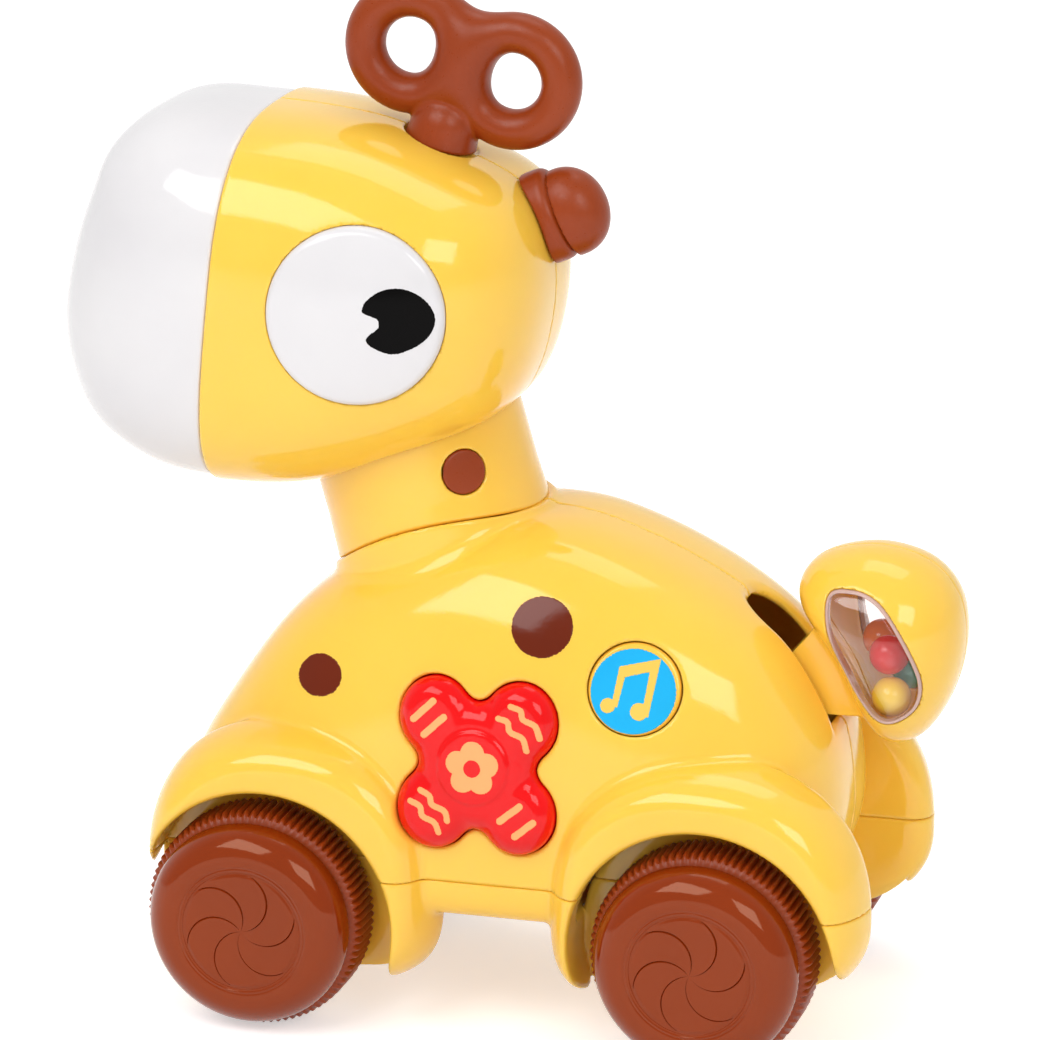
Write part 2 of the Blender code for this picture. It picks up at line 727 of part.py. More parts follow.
def tail_sector(start, end, inner, outer):
    """A fan outline round the tail pin, between two angles and two radii."""
    angles = [start + (end - start) * k / SECTOR_STEPS for k in range(SECTOR_STEPS + 1)]
    rim = [(TAIL_PIN[0] + outer * math.cos(a), TAIL_PIN[1] + outer * math.sin(a)) for a in angles]
    root = [(TAIL_PIN[0] + inner * math.cos(a), TAIL_PIN[1] + inner * math.sin(a)) for a in reversed(angles)]
    return rim + root


def y_frame(x, z):
    return axis_frame((x, 0, z), (0, 1, 0))


def build_body():
    blank = body_blank()
    left = copied(blank, "body_left", YELLOW)
    base = copied(blank, "base_shell", YELLOW)
    bpy.data.objects.remove(blank, do_unlink=True)
    seam_z = PARTING_Z + HALF_GAP
    combined(left, "INTERSECT", block("left_side", (-BIG, -BIG, seam_z), (BIG, -HALF_GAP, BIG), parts=False))
    combined(base, "INTERSECT",
             block("under_seam", (-BIG, -BIG, -BIG), (BIG, BIG, PARTING_Z - HALF_GAP), parts=False))

    # Bosses for the tail pin and openings for neck and tail, on both sides
    pin_inner = TAIL_STEM_HALF_WIDTH + 2 * GAP
    frame = axis_frame((TAIL_PIN[0], 0, TAIL_PIN[1]), (0, -1, 0))
    boss = rod("pin_boss", TAIL_HUB_RADIUS - GAP, pin_inner, body_side(*TAIL_PIN) - WALL / 2, frame,
               parts=False, steps=SMALL_STEPS)
    upper_bosses = [rod("upper_boss", BASE_BOSS_RADIUS, seam_z, seam_z + UPPER_BOSS_HEIGHT,
                        axis_frame((x, y, 0), (0, 0, 1)), parts=False, steps=SMALL_STEPS)
                    for x, y in BASE_SCREWS if y < 0]
    combined(left, "UNION", boss, *upper_bosses)
    thread_holes = [rod("thread_hole", SCREW_RADIUS + GAP, 0, PARTING_Z + SCREW_BITE + 2 * GAP,
                        axis_frame((x, y, 0), (0, 0, 1)), parts=False, steps=SMALL_STEPS)
                    for x, y in BASE_SCREWS if y < 0]
    combined(left, "DIFFERENCE", *thread_holes)
    bore = rod("pin_bore", AXLE_RADIUS + GAP, 0, PIN_HALF_LENGTH + GAP, frame, parts=False, steps=SMALL_STEPS)
    neck_hole = rod("neck_hole", SPIGOT_NECK_RADIUS + GAP, NECK_LEDGE - OVERCUT, NECK_TOP, NECK_FRAME,
                    parts=False)
    slot = prism("tail_slot", tail_sector(SLOT_FROM, SLOT_TO, SLOT_ROOT, SLOT_REACH),
                 -SLOT_HALF_WIDTH, SLOT_HALF_WIDTH, parts=False)
    combined(left, "DIFFERENCE", bore, neck_hole, slot)
    mirrored(left, "body_right", YELLOW)

    # Posts for the circuit board and openings for the two buttons, on the left
    posts = []
    for x, z in BOARD_POSTS:
        frame = axis_frame((x, 0, z), (0, -1, 0))
        foot = BOARD_THICKNESS / 2 + GAP - BOARD_Y
        posts.append(rod("board_post", POST_RADIUS, foot, body_side(x, z) - WALL / 2, frame, parts=False,
                         steps=SMALL_STEPS))
    combined(left, "UNION", *posts)

    flange_top = -FLOWER_DEPTH + FLOWER_FLANGE_DEPTH + GAP
    sections = [(FLOWER_FLANGE + GAP, -FLOWER_DEPTH - FLOWER_TRAVEL - GAP), (FLOWER_FLANGE + GAP, flange_top),
                (GAP, flange_top), (GAP, FLOWER_DEPTH)]
    flower_hole = loft("flower_hole", framed_rings(FLOWER_FRAME, [
        (flower_outline(growth), height) for growth, height in sections]), parts=False)
    flange = MUSIC_RADIUS + MUSIC_FLANGE + GAP
    profile = [(flange, -MUSIC_DEPTH - MUSIC_FLANGE - MUSIC_TRAVEL - GAP), (flange, -MUSIC_DEPTH + GAP),
               (MUSIC_RADIUS + GAP, -MUSIC_DEPTH + GAP), (MUSIC_RADIUS + GAP, MUSIC_DEPTH)]
    music_hole = loft("music_hole", turned(profile, MUSIC_FRAME), parts=False)
    combined(left, "DIFFERENCE", flower_hole, music_hole)
    return base


# Gear train places: pinion behind the rack, second gear between it and the rear axle

def pitch_radius(teeth):
    return teeth * GEAR_MODULE / 2


PINION_BACK = RACK_PITCH_LINE + pitch_radius(PINION_TEETH)
PINION_CENTRE = NECK_ORIGIN + NECK_AXIS * PINION_AT + NECK_BACK * PINION_BACK
AXLE_CENTRE = Vector((REAR_AXLE_X, 0, WHEEL_RADIUS))
FIRST_REACH = pitch_radius(FIRST_GEAR_TEETH) + pitch_radius(SECOND_PINION_TEETH)
SECOND_REACH = pitch_radius(SECOND_GEAR_TEETH) + pitch_radius(CLUTCH_TEETH)


def second_gear_centre():
    """Where circles round the pinion and the axle cross, on the upper side."""
    line = AXLE_CENTRE - PINION_CENTRE
    span = line.length
    along = (FIRST_REACH ** 2 - SECOND_REACH ** 2 + span ** 2) / (2 * span)
    off = math.sqrt(FIRST_REACH ** 2 - along ** 2)
    unit = line.normalized()
    return PINION_CENTRE + unit * along + Vector((-unit.z, 0, unit.x)) * off


SECOND_CENTRE = second_gear_centre()


def direction(start, end):
    """Angle of the line between two centres, in the x, z plane."""
    return math.atan2(end.z - start.z, end.x - start.x)


def gear_outline(teeth, phase):
    """Tooth outline with a tooth at the phase angle; slim teeth leave backlash."""
    pitch = 2 * math.pi / teeth
    radius = pitch_radius(teeth)
    tip = radius + ADDENDUM
    root = radius - DEDENDUM
    points = []
    for k in range(teeth):
        middle = phase + k * pitch
        for radial, part in ((root, -TOOTH_ROOT), (tip, -TOOTH_TIP), (tip, TOOTH_TIP), (root, TOOTH_ROOT)):
            angle = middle + part * pitch
            points.append(Vector((radial * math.cos(angle), radial * math.sin(angle))))
    return points


def gear_section(centre, outline, y):
    return [(centre.x + p.x, y, centre.z + p.y) for p in outline]


def toothed(name, centre, teeth, phase, low_y, high_y, finish=None, parts=False):
    outline = gear_outline(teeth, phase)
    return loft(name, [gear_section(centre, outline, y) for y in (low_y, high_y)], finish, parts)


def compound(name, centre, layers):
    """Gears of one moulding: layers are (teeth, phase, low y, high y), bored for the shaft."""
    pieces = [toothed(name + "_layer", centre, *layer) for layer in layers[1:]]
    body = toothed(name, centre, *layers[0], finish=NYLON, parts=True)
    hub = rod(name + "_hub", SHAFT_RADIUS + HUB_WALL, -PLATE_Y + GAP, PLATE_Y - GAP,
              y_frame(centre.x, centre.z), parts=False, steps=SMALL_STEPS)
    combined(body, "UNION", *pieces, hub)
    bore = rod(name + "_bore", SHAFT_RADIUS + GAP, -BIG, BIG, y_frame(centre.x, centre.z),
               parts=False, steps=SMALL_STEPS)
    combined(body, "DIFFERENCE", bore)
    put_origin(body, centre.x, 0, centre.z)
    return body


def build_gears():
    toward_rack = math.atan2(-NECK_BACK.z, -NECK_BACK.x)
    half = math.pi
    # The rack has a tooth level with the pinion, so the pinion has a gap there
    compound("rack_pinion_gear", PINION_CENTRE, [
        (PINION_TEETH, toward_rack + half / PINION_TEETH, -PINION_HALF_FACE, PINION_HALF_FACE),
        (FIRST_GEAR_TEETH, direction(PINION_CENTRE, SECOND_CENTRE), SIDE_GEAR_Y, SIDE_GEAR_Y + GEAR_FACE)])
    compound("second_gear", SECOND_CENTRE, [
        (SECOND_GEAR_TEETH, direction(SECOND_CENTRE, AXLE_CENTRE), -SIDE_GEAR_Y - GEAR_FACE, -SIDE_GEAR_Y),
        (SECOND_PINION_TEETH, direction(SECOND_CENTRE, PINION_CENTRE) + half / SECOND_PINION_TEETH,
         SIDE_GEAR_Y, SIDE_GEAR_Y + GEAR_FACE)])
    clutch = toothed("clutch_gear", AXLE_CENTRE, CLUTCH_TEETH,
                     direction(AXLE_CENTRE, SECOND_CENTRE) + half / CLUTCH_TEETH, -SIDE_GEAR_Y - GEAR_FACE,
                     -SIDE_GEAR_Y, finish=NYLON, parts=True)
    combined(clutch, "DIFFERENCE", rod("clutch_bore", AXLE_RADIUS + GAP, -BIG, BIG,
                                       y_frame(REAR_AXLE_X, WHEEL_RADIUS), parts=False, steps=SMALL_STEPS))
    put_origin(clutch, REAR_AXLE_X, 0, WHEEL_RADIUS)
    shaft_half = PLATE_Y + PLATE_THICKNESS
    for name, centre in (("pinion_shaft", PINION_CENTRE), ("second_shaft", SECOND_CENTRE)):
        rod(name, SHAFT_RADIUS, -shaft_half, shaft_half, y_frame(centre.x, centre.z), STEEL,
            steps=SMALL_STEPS)
    low_z = FLOOR_Z + WALL + GAP
    front_x = PINION_CENTRE.x - PLATE_MARGIN
    rear_x = SECOND_CENTRE.x + PLATE_MARGIN
    outline = [(front_x, low_z), (rear_x, low_z), (rear_x, SECOND_CENTRE.z + PLATE_MARGIN),
               (PINION_CENTRE.x + PLATE_MARGIN, PINION_CENTRE.z + PLATE_MARGIN),
               (front_x, PINION_CENTRE.z + PLATE_MARGIN)]
    for name, side in (("gear_plate_left", -1), ("gear_plate_right", 1)):
        faces = sorted((side * PLATE_Y, side * (PLATE_Y + PLATE_THICKNESS)))
        plate = prism(name, outline, *faces, finish=NYLON)
        holes = [rod("plate_hole", SHAFT_RADIUS + GAP, -BIG, BIG, y_frame(c.x, c.z), parts=False,
                     steps=SMALL_STEPS) for c in (PINION_CENTRE, SECOND_CENTRE)]
        combined(plate, "DIFFERENCE", *holes)


def build_plunger():
    """Column under the head's crown, piston in the neck, rod and rack."""
    plunger = rod("plunger", COLUMN_RADIUS, PISTON_AT + PISTON_THICKNESS / 2, BIG, NECK_FRAME, NYLON,
                  steps=MIDDLE_STEPS)
    combined(plunger, "INTERSECT", head_form("crown", -WALL - GAP))
    combined(plunger, "DIFFERENCE", seam_block("muzzle_room", -MUZZLE_SPIGOT - GAP, BIG))
    piston_top = PISTON_AT + PISTON_THICKNESS
    profile = [(ROD_RADIUS, RACK_TOP), (ROD_RADIUS, PISTON_AT), (NECK_BORE - GAP, PISTON_AT),
               (NECK_BORE - GAP, piston_top), (ROD_RADIUS, piston_top), (ROD_RADIUS, NECK_TOP)]
    lower = loft("piston", turned(profile, NECK_FRAME), parts=False)
    pitch = math.pi * GEAR_MODULE
    root = RACK_PITCH_LINE - DEDENDUM
    tip = RACK_PITCH_LINE + ADDENDUM
    top = RACK_TOP + WALL
    bar = [(root, top), (RACK_BACK, top), (RACK_BACK, RACK_BOTTOM), (root, RACK_BOTTOM)]
    first = math.ceil((RACK_BOTTOM - PINION_AT) / pitch + TOOTH_ROOT + TOOTH_TIP)
    last = math.floor((RACK_TOP - PINION_AT) / pitch - TOOTH_ROOT - TOOTH_TIP)
    for k in range(first, last + 1):
        at = PINION_AT + k * pitch
        bar += [(root, at - TOOTH_ROOT * pitch), (tip, at - TOOTH_TIP * pitch), (tip, at + TOOTH_TIP * pitch),
                (root, at + TOOTH_ROOT * pitch)]
    rings = [[NECK_FRAME @ Vector((back, y, along)) for back, along in bar]
             for y in (-PINION_HALF_FACE, PINION_HALF_FACE)]
    rack = loft("rack", rings, parts=False)
    combined(plunger, "UNION", lower, rack)


def build_spring():
    """A wire wound round the plunger's rod, from the neck's ledge to the piston."""
    low = NECK_LEDGE + NECK_LEDGE_THICKNESS + SPRING_WIRE + GAP
    high = PISTON_AT - SPRING_WIRE - GAP
    total = SPRING_TURNS * SPRING_STEPS
    rings = []
    for k in range(total + 1):
        angle = 2 * math.pi * k / SPRING_STEPS
        out = Vector((math.cos(angle), math.sin(angle), 0))
        spot = out * SPRING_RADIUS + Vector((0, 0, low + (high - low) * k / total))
        rings.append([NECK_FRAME @ (spot + out * p.x + Vector((0, 0, p.y)))
                      for p in circle(SPRING_WIRE, SPRING_SIDES)])
    loft("return_spring", rings, STEEL)


def build_neck():
    collar = NECK_RADIUS - NECK_TAPER
    profile = [(NECK_RADIUS + NECK_TAPER, NECK_SKIRT), (collar, NECK_TAPER_END), (collar, NECK_TOP)]
    neck = loft("neck", turned(profile, NECK_FRAME), YELLOW)
    combined(neck, "DIFFERENCE", below_rim("collar_foot", HALF_GAP))
    spigot = rod("spigot", SPIGOT_NECK_RADIUS, NECK_LEDGE, NECK_TAPER_END, NECK_FRAME, parts=False)
    combined(neck, "UNION", spigot)
    bore = rod("bore", NECK_BORE, NECK_LEDGE + NECK_LEDGE_THICKNESS, BIG, NECK_FRAME, parts=False)
    rod_hole = rod("rod_hole", ROD_RADIUS + GAP, -BIG, BIG, NECK_FRAME, parts=False, steps=MIDDLE_STEPS)
    rack_room = RACK_PITCH_LINE + ADDENDUM + GAP
    corners = [(RACK_BACK - GAP, -BIG), (rack_room, -BIG), (rack_room, BIG), (RACK_BACK - GAP, BIG)]
    slot = loft("rack_slot", [[NECK_FRAME @ Vector((back, y, along)) for back, along in corners]
                              for y in (-PINION_HALF_FACE - GAP, PINION_HALF_FACE + GAP)], parts=False)
    combined(neck, "DIFFERENCE", bore, rod_hole, slot)
    for name, side in (("neck_plug_left", -1), ("neck_plug_right", 1)):
        outward = NECK_BACK * math.cos(PLUG_TURN) + Vector((0, side * math.sin(PLUG_TURN), 0))
        frame = axis_frame(NECK_FRAME @ Vector((0, 0, PLUG_RISE)), outward)
        seat = collar - PLUG_DEPTH
        combined(neck, "DIFFERENCE", rod("plug_seat", PLUG_RADIUS + GAP, seat, BIG, frame, parts=False,
                                         steps=MIDDLE_STEPS))
        plug = [(PLUG_RADIUS, seat + GAP), (PLUG_RADIUS, collar - GAP), (PLUG_RADIUS - GAP, collar)]
        loft(name, turned(plug, frame, MIDDLE_STEPS), BROWN)


def eye_frame(side):
    return axis_frame((EYE_X, 0, EYE_Z), (math.sin(EYE_TURN), side * math.cos(EYE_TURN), 0))


def seam_block(name, from_forward, to_forward):
    """A box between two distances in front of the muzzle seam."""
    corners = [Vector((from_forward, -BIG)), Vector((to_forward, -BIG)), Vector((to_forward, BIG)),
               Vector((from_forward, BIG))]
    return prism(name, [tilted(c, SEAM_PLACE, SEAM_TILT) for c in corners], -BIG, BIG, parts=False)


def build_head():
    shell = head_form("head_blank", 0.0)
    combined(shell, "DIFFERENCE", head_form("head_cavity", -WALL))
    combined(shell, "INTERSECT", seam_block("behind_seam", -BIG, 0.0))
    neck_hole = rod("head_neck_hole", NECK_RADIUS + GAP, -BIG, NECK_TOP + WALL, NECK_FRAME, parts=False)
    key_hole = rod("key_hole", KEY_SHAFT_RADIUS + GAP, -KEY_SHAFT_LENGTH, BIG, KEY_FRAME, parts=False,
                   steps=MIDDLE_STEPS)
    key_seat = rod("key_seat", KEY_STEM_RADIUS + GAP, STEM_BASE - GAP, BIG, KEY_FRAME, parts=False)
    eye_holes = [rod("eye_hole", EYE_RADIUS + GAP, 0, BIG, eye_frame(side), parts=False) for side in (-1, 1)]
    shank = tuft_shank("shank_hole", GAP)
    combined(shell, "DIFFERENCE", neck_hole, key_hole, key_seat, *eye_holes, shank)
    left = copied(shell, "head_left", YELLOW)
    bpy.data.objects.remove(shell, do_unlink=True)
    combined(left, "INTERSECT", block("left_head", (-BIG, -BIG, -BIG), (BIG, -HALF_GAP, BIG), parts=False))
    mirrored(left, "head_right", YELLOW)

    blank = head_form("muzzle_blank", -MUZZLE_STEP)
    muzzle = copied(blank, "muzzle", WHITE)
    bpy.data.objects.remove(blank, do_unlink=True)
    combined(muzzle, "INTERSECT", seam_block("before_seam", GAP, BIG))
    spigot = head_form("muzzle_spigot", -WALL - GAP)
    combined(spigot, "INTERSECT", seam_block("spigot_span", -MUZZLE_SPIGOT, WALL))
    combined(muzzle, "UNION", spigot)
    front_room = head_form("front_room", -MUZZLE_STEP - WALL)
    combined(front_room, "INTERSECT", seam_block("front_span", 2 * WALL, BIG))
    combined(muzzle, "DIFFERENCE", head_form("muzzle_hollow", -2 * WALL - GAP), front_room)

    eye = rod("eye_left", EYE_RADIUS, EYE_RADIUS, BIG, eye_frame(-1), WHITE)
    combined(eye, "INTERSECT", head_form("eye_face", EYE_PROUD))
    combined(eye, "DIFFERENCE", head_form("eye_back", -WALL))
    mirrored(eye, "eye_right", WHITE)


def tuft_piece(name, rolls, growth, finish=None, parts=False):
    """An oval rod along the tuft's axis; rolls are (distance, share of the full half sizes)."""
    ahead = Vector((math.cos(TUFT_RISE), 0, math.sin(TUFT_RISE)))
    up = Vector((-math.sin(TUFT_RISE), 0, math.cos(TUFT_RISE)))
    base = Vector((TUFT_BASE[0], 0, TUFT_BASE[1]))
    rings = []
    for along, part in rolls:
        high = part * TUFT_HALF_HEIGHT + growth
        wide = part * TUFT_HALF_WIDTH + growth
        rings.append([base + ahead * along + up * (high * p.y) + Vector((0, wide * p.x, 0))
                      for p in circle(1.0, MIDDLE_STEPS)])
    return loft(name, rings, finish, parts)


def tuft_shank(name, growth):
    return tuft_piece(name, [(-TUFT_SHANK, TUFT_SHANK_PART), (TUFT_SHANK_END, TUFT_SHANK_PART)], growth)


def build_tuft():
    tuft = tuft_piece("mane_tuft", [(-WALL, TUFT_ROLLS[0][1])] + TUFT_ROLLS, 0.0, BROWN, True)
    combined(tuft, "DIFFERENCE", head_form("tuft_seat", GAP))
    combined(tuft, "UNION", tuft_shank("tuft_shank", 0.0))


def build_key():
    """Two rims side by side on a domed stem, with a shaft through the crown and a washer."""
    half = KEY_HOLE_SPACING / 2
    ring = KEY_HOLE_RADIUS + KEY_RIM_RADIUS

    def rim(name, shift, parts):
        rings = []
        for k in range(KEY_RIM_STEPS):
            angle = 2 * math.pi * (k + 0.5) / KEY_RIM_STEPS
            section = []
            for p in circle(KEY_RIM_RADIUS, KEY_RIM_SIDES):
                reach = ring + p.x
                section.append(KEY_UPRIGHT @ Vector((shift + reach * math.cos(angle), p.y,
                                                     KEY_HOLE_HEIGHT + reach * math.sin(angle))))
            rings.append(section)
        return ring_stack(name, rings, BROWN if parts else None, parts)

    key = rim("winding_key", -half, True)
    other = rim("second_rim", half, False)
    stem = [(KEY_STEM_RADIUS, STEM_BASE)] + [(KEY_STEM_RADIUS - inset, rise) for inset, rise in STEM_DOME]
    combined(key, "UNION", other, loft("stem", turned(stem, KEY_FRAME, MIDDLE_STEPS), parts=False))
    combined(key, "UNION", rod("key_shaft", KEY_SHAFT_RADIUS, -KEY_SHAFT_LENGTH, STEM_DOME[0][1], KEY_FRAME,
                               parts=False, steps=MIDDLE_STEPS))
    put_origin(key, KEY_FOOT[0], 0, KEY_FOOT[1])
    inner = KEY_SHAFT_RADIUS + GAP
    outer = KEY_SHAFT_RADIUS + WASHER_RIM
    high = WASHER_LOW + WASHER_THICKNESS
    tube("key_washer", [(outer, WASHER_LOW), (outer, high), (inner, high), (inner, WASHER_LOW)], KEY_FRAME,
         STEEL, steps=MIDDLE_STEPS)


BAY_X = (CELL_X - DOOR_LENGTH / 2, CELL_X + DOOR_LENGTH / 2)
BAY_HALF_WIDTH = DOOR_WIDTH / 2
CELL_STACK = CELL_COUNT * CELL_LENGTH + (CELL_COUNT - 1) * GAP
BAY_TOP = FLOOR_Z + WALL + 2 * CELL_RADIUS + BAY_RIM


def axle_beam(name, axle_x):
    reach = LEG_INNER_Y + WALL / 2
    return block(name, (axle_x - BEAM_HALF_LENGTH, -reach, WHEEL_RADIUS - BEAM_DROP),
                 (axle_x + BEAM_HALF_LENGTH, reach, FLOOR_Z + WALL), parts=False)


def belly_room():
    """Lowest and highest corners of the room under the floor for the second and the clutch gear."""
    gear_tip = pitch_radius(SECOND_GEAR_TEETH) + ADDENDUM + GEAR_ROOM
    clutch_tip = pitch_radius(CLUTCH_TEETH) + ADDENDUM + GEAR_ROOM
    dip = max(gear_tip ** 2 - (SECOND_CENTRE.z - FLOOR_Z - WALL) ** 2, 0.0)
    low_x = min(SECOND_CENTRE.x - math.sqrt(dip), REAR_AXLE_X - clutch_tip)
    low = Vector((low_x, -SIDE_GEAR_Y - GEAR_FACE - GEAR_ROOM, WHEEL_RADIUS - clutch_tip))
    return low, Vector((REAR_AXLE_X + clutch_tip, -SIDE_GEAR_Y + GEAR_ROOM, PARTING_Z + OVERCUT))


def build_base(base):
    """Adds the axle beams, gear belly, battery bay and screw bosses to the lower shell."""
    low, high = belly_room()
    wall = Vector((WALL, WALL, WALL))
    belly = block("belly", low - wall, (high.x + WALL, high.y + WALL, FLOOR_Z + WALL), parts=False)
    bosses = [rod("base_boss", BASE_BOSS_RADIUS, FLOOR_Z, PARTING_Z - HALF_GAP,
                  axis_frame((x, y, 0), (0, 0, 1)), parts=False, steps=SMALL_STEPS) for x, y in BASE_SCREWS]
    bay = block("bay", (BAY_X[0] - WALL, -BAY_HALF_WIDTH - WALL, FLOOR_Z),
                (BAY_X[1] + WALL, BAY_HALF_WIDTH + WALL, BAY_TOP), parts=False)
    beams = [axle_beam("front_beam", FRONT_AXLE_X), axle_beam("rear_beam", REAR_AXLE_X)]
    combined(base, "UNION", *beams, belly, bay, *bosses)
    bores = [rod("axle_bore", AXLE_RADIUS + GAP, -BIG, BIG, y_frame(x, WHEEL_RADIUS), parts=False,
                 steps=SMALL_STEPS) for x in (FRONT_AXLE_X, REAR_AXLE_X)]
    opening = block("door_opening", (BAY_X[0] - GAP, -BAY_HALF_WIDTH - GAP, 0),
                    (BAY_X[1] + GAP, BAY_HALF_WIDTH + GAP, FLOOR_Z + WALL), parts=False)
    cells = block("cell_room", (CELL_X - CELL_RADIUS - GAP, -CELL_STACK / 2 - GAP, FLOOR_Z),
                  (CELL_X + CELL_RADIUS + GAP, CELL_STACK / 2 + GAP, BAY_TOP + OVERCUT), parts=False)
    combined(base, "DIFFERENCE", block("gear_room", low, high, parts=False), *bores, opening, cells)
    holes = []
    for index, (x, y) in enumerate(BASE_SCREWS):
        frame = axis_frame((x, y, FLOOR_Z), (0, 0, 1))
        holes.append(rod("screw_hole", SCREW_RADIUS + GAP, -OVERCUT, BIG, frame, parts=False,
                         steps=SMALL_STEPS))
        holes.append(rod("screw_seat", SCREW_HEAD_RADIUS + GAP, -OVERCUT, SCREW_HEAD_HEIGHT + 2 * GAP, frame,
                         parts=False, steps=SMALL_STEPS))
        profile = [(SCREW_HEAD_RADIUS, GAP), (SCREW_HEAD_RADIUS, SCREW_HEAD_HEIGHT + GAP),
                   (SCREW_RADIUS, SCREW_HEAD_HEIGHT + GAP), (SCREW_RADIUS, PARTING_Z - FLOOR_Z + SCREW_BITE)]
        loft("base_screw_%d" % (index + 1), turned(profile, frame, SMALL_STEPS), STEEL)
    combined(base, "DIFFERENCE", *holes)


def build_power():
    """Battery cells, their door with its screw, and the speaker."""
    for k in range(CELL_COUNT):
        start = -CELL_STACK / 2 + k * (CELL_LENGTH + GAP)
        end = start + CELL_LENGTH
        profile = [(CELL_RADIUS, start), (CELL_RADIUS, end - CELL_STEP),
                   (CELL_RADIUS - CELL_BUTTON, end - CELL_STEP), (CELL_RADIUS - CELL_BUTTON, end)]
        frame = y_frame(CELL_X, FLOOR_Z + WALL + GAP + CELL_RADIUS)
        loft("button_cell_%d" % (k + 1), turned(profile, frame, MIDDLE_STEPS), STEEL)
    low = FLOOR_Z + WALL - DOOR_THICKNESS
    door = block("battery_door", (BAY_X[0], -BAY_HALF_WIDTH, low),
                 (BAY_X[1], BAY_HALF_WIDTH, FLOOR_Z + WALL - GAP), YELLOW)
    frame = axis_frame((CELL_X, BAY_HALF_WIDTH - DOOR_SCREW_INSET, low), (0, 0, 1))
    combined(door, "DIFFERENCE", rod("door_hole", SCREW_HEAD_RADIUS + GAP, -OVERCUT, BIG, frame, parts=False,
                                     steps=SMALL_STEPS))
    rod("door_screw", SCREW_HEAD_RADIUS, 0, DOOR_THICKNESS - GAP, frame, STEEL, steps=SMALL_STEPS)
    frame = axis_frame((SPEAKER_X, 0, FLOOR_Z + WALL + GAP), (0, 0, 1))
    profile = [(SPEAKER_RADIUS, 0), (SPEAKER_RADIUS, SPEAKER_RIM), (SPEAKER_MAGNET, SPEAKER_HEIGHT / 2),
               (SPEAKER_MAGNET, SPEAKER_HEIGHT)]
    loft("speaker", turned(profile, frame), BLACK)


def build_buttons():
    """Flower and music buttons, their pads and the circuit board behind them."""
    flange_top = -FLOWER_DEPTH + FLOWER_FLANGE_DEPTH
    sections = [(FLOWER_FLANGE, -FLOWER_DEPTH), (FLOWER_FLANGE, flange_top), (0.0, flange_top)] + FLOWER_EDGE
    rings = framed_rings(FLOWER_FRAME, [(flower_outline(growth), height) for growth, height in sections])
    loft("flower_button", rings, RED)
    flange = MUSIC_RADIUS + MUSIC_FLANGE
    profile = [(flange, -MUSIC_DEPTH - MUSIC_FLANGE), (flange, -MUSIC_DEPTH), (MUSIC_RADIUS, -MUSIC_DEPTH)]
    profile += [(MUSIC_RADIUS + growth, height) for growth, height in MUSIC_EDGE]
    loft("music_button", turned(profile, MUSIC_FRAME), YELLOW)
    board_face = BOARD_Y - BOARD_THICKNESS / 2
    for name, frame, back in (("flower_pad", FLOWER_FRAME, -FLOWER_DEPTH - GAP),
                              ("music_pad", MUSIC_FRAME, -MUSIC_DEPTH - MUSIC_FLANGE - GAP)):
        top = frame @ Vector((0, 0, back))
        foot = Vector((top.x, board_face - GAP, top.z))
        low = [foot + Vector((p.x, 0, p.y)) for p in circle(PAD_FOOT_RADIUS, MIDDLE_STEPS)]
        high = [frame @ Vector((p.x, p.y, back)) for p in circle(PAD_RADIUS, MIDDLE_STEPS)]
        loft(name, [low, high], SILICONE)
    prism("circuit_board", BOARD_OUTLINE, board_face, BOARD_Y + BOARD_THICKNESS / 2, BOARD)


def build_wheels():
    """Ribbed wheels pressed on two axles, each with a domed cap whose disc is let in."""
    tread = []
    for k in range(2 * WHEEL_RIBS):
        angle = math.pi * k / WHEEL_RIBS
        radius = WHEEL_RADIUS - RIB_DEPTH * (k % 2)
        tread.append(Vector((radius * math.sin(angle), -radius * math.cos(angle))))
    cap_foot = TREAD_OUTER_Y + GAP
    cap_profile = [(SPIGOT_RADIUS, TREAD_OUTER_Y - SPIGOT_LENGTH), (SPIGOT_RADIUS, cap_foot)]
    cap_profile += [(CAP_RADIUS, cap_foot)]
    cap_profile += [(CAP_RADIUS - inset, CAP_OUTER_Y - drop) for inset, drop in CAP_DOME]
    cap_profile += [(CAP_DISC_RADIUS + GAP, CAP_OUTER_Y - GAP), (CAP_DISC_RADIUS, CAP_OUTER_Y - CAP_RECESS)]
    for corner, (axle_x, side) in WHEEL_PLACES.items():
        frame = axis_frame((axle_x, 0, WHEEL_RADIUS), (0, side, 0))
        rings = framed_rings(frame, [(tread, WHEEL_INNER_Y), (tread, TREAD_OUTER_Y)])
        wheel = loft("wheel_" + corner, rings, BROWN)
        hole = rod("wheel_hole", AXLE_RADIUS + GAP, 0, BIG, frame, parts=False, steps=SMALL_STEPS)
        socket = rod("wheel_socket", SPIGOT_RADIUS + GAP, TREAD_OUTER_Y - SPIGOT_LENGTH - GAP, BIG, frame,
                     parts=False)
        combined(wheel, "DIFFERENCE", hole, socket)
        put_origin(wheel, axle_x, 0, WHEEL_RADIUS)
        cap = loft("wheel_cap_" + corner, turned(cap_profile, frame), BROWN)
        put_origin(cap, axle_x, 0, WHEEL_RADIUS)
    for name, axle_x in (("front_axle", FRONT_AXLE_X), ("rear_axle", REAR_AXLE_X)):
        axle = rod(name, AXLE_RADIUS, -AXLE_END_Y, AXLE_END_Y, y_frame(axle_x, WHEEL_RADIUS), STEEL,
                   steps=SMALL_STEPS)
        put_origin(axle, axle_x, 0, WHEEL_RADIUS)


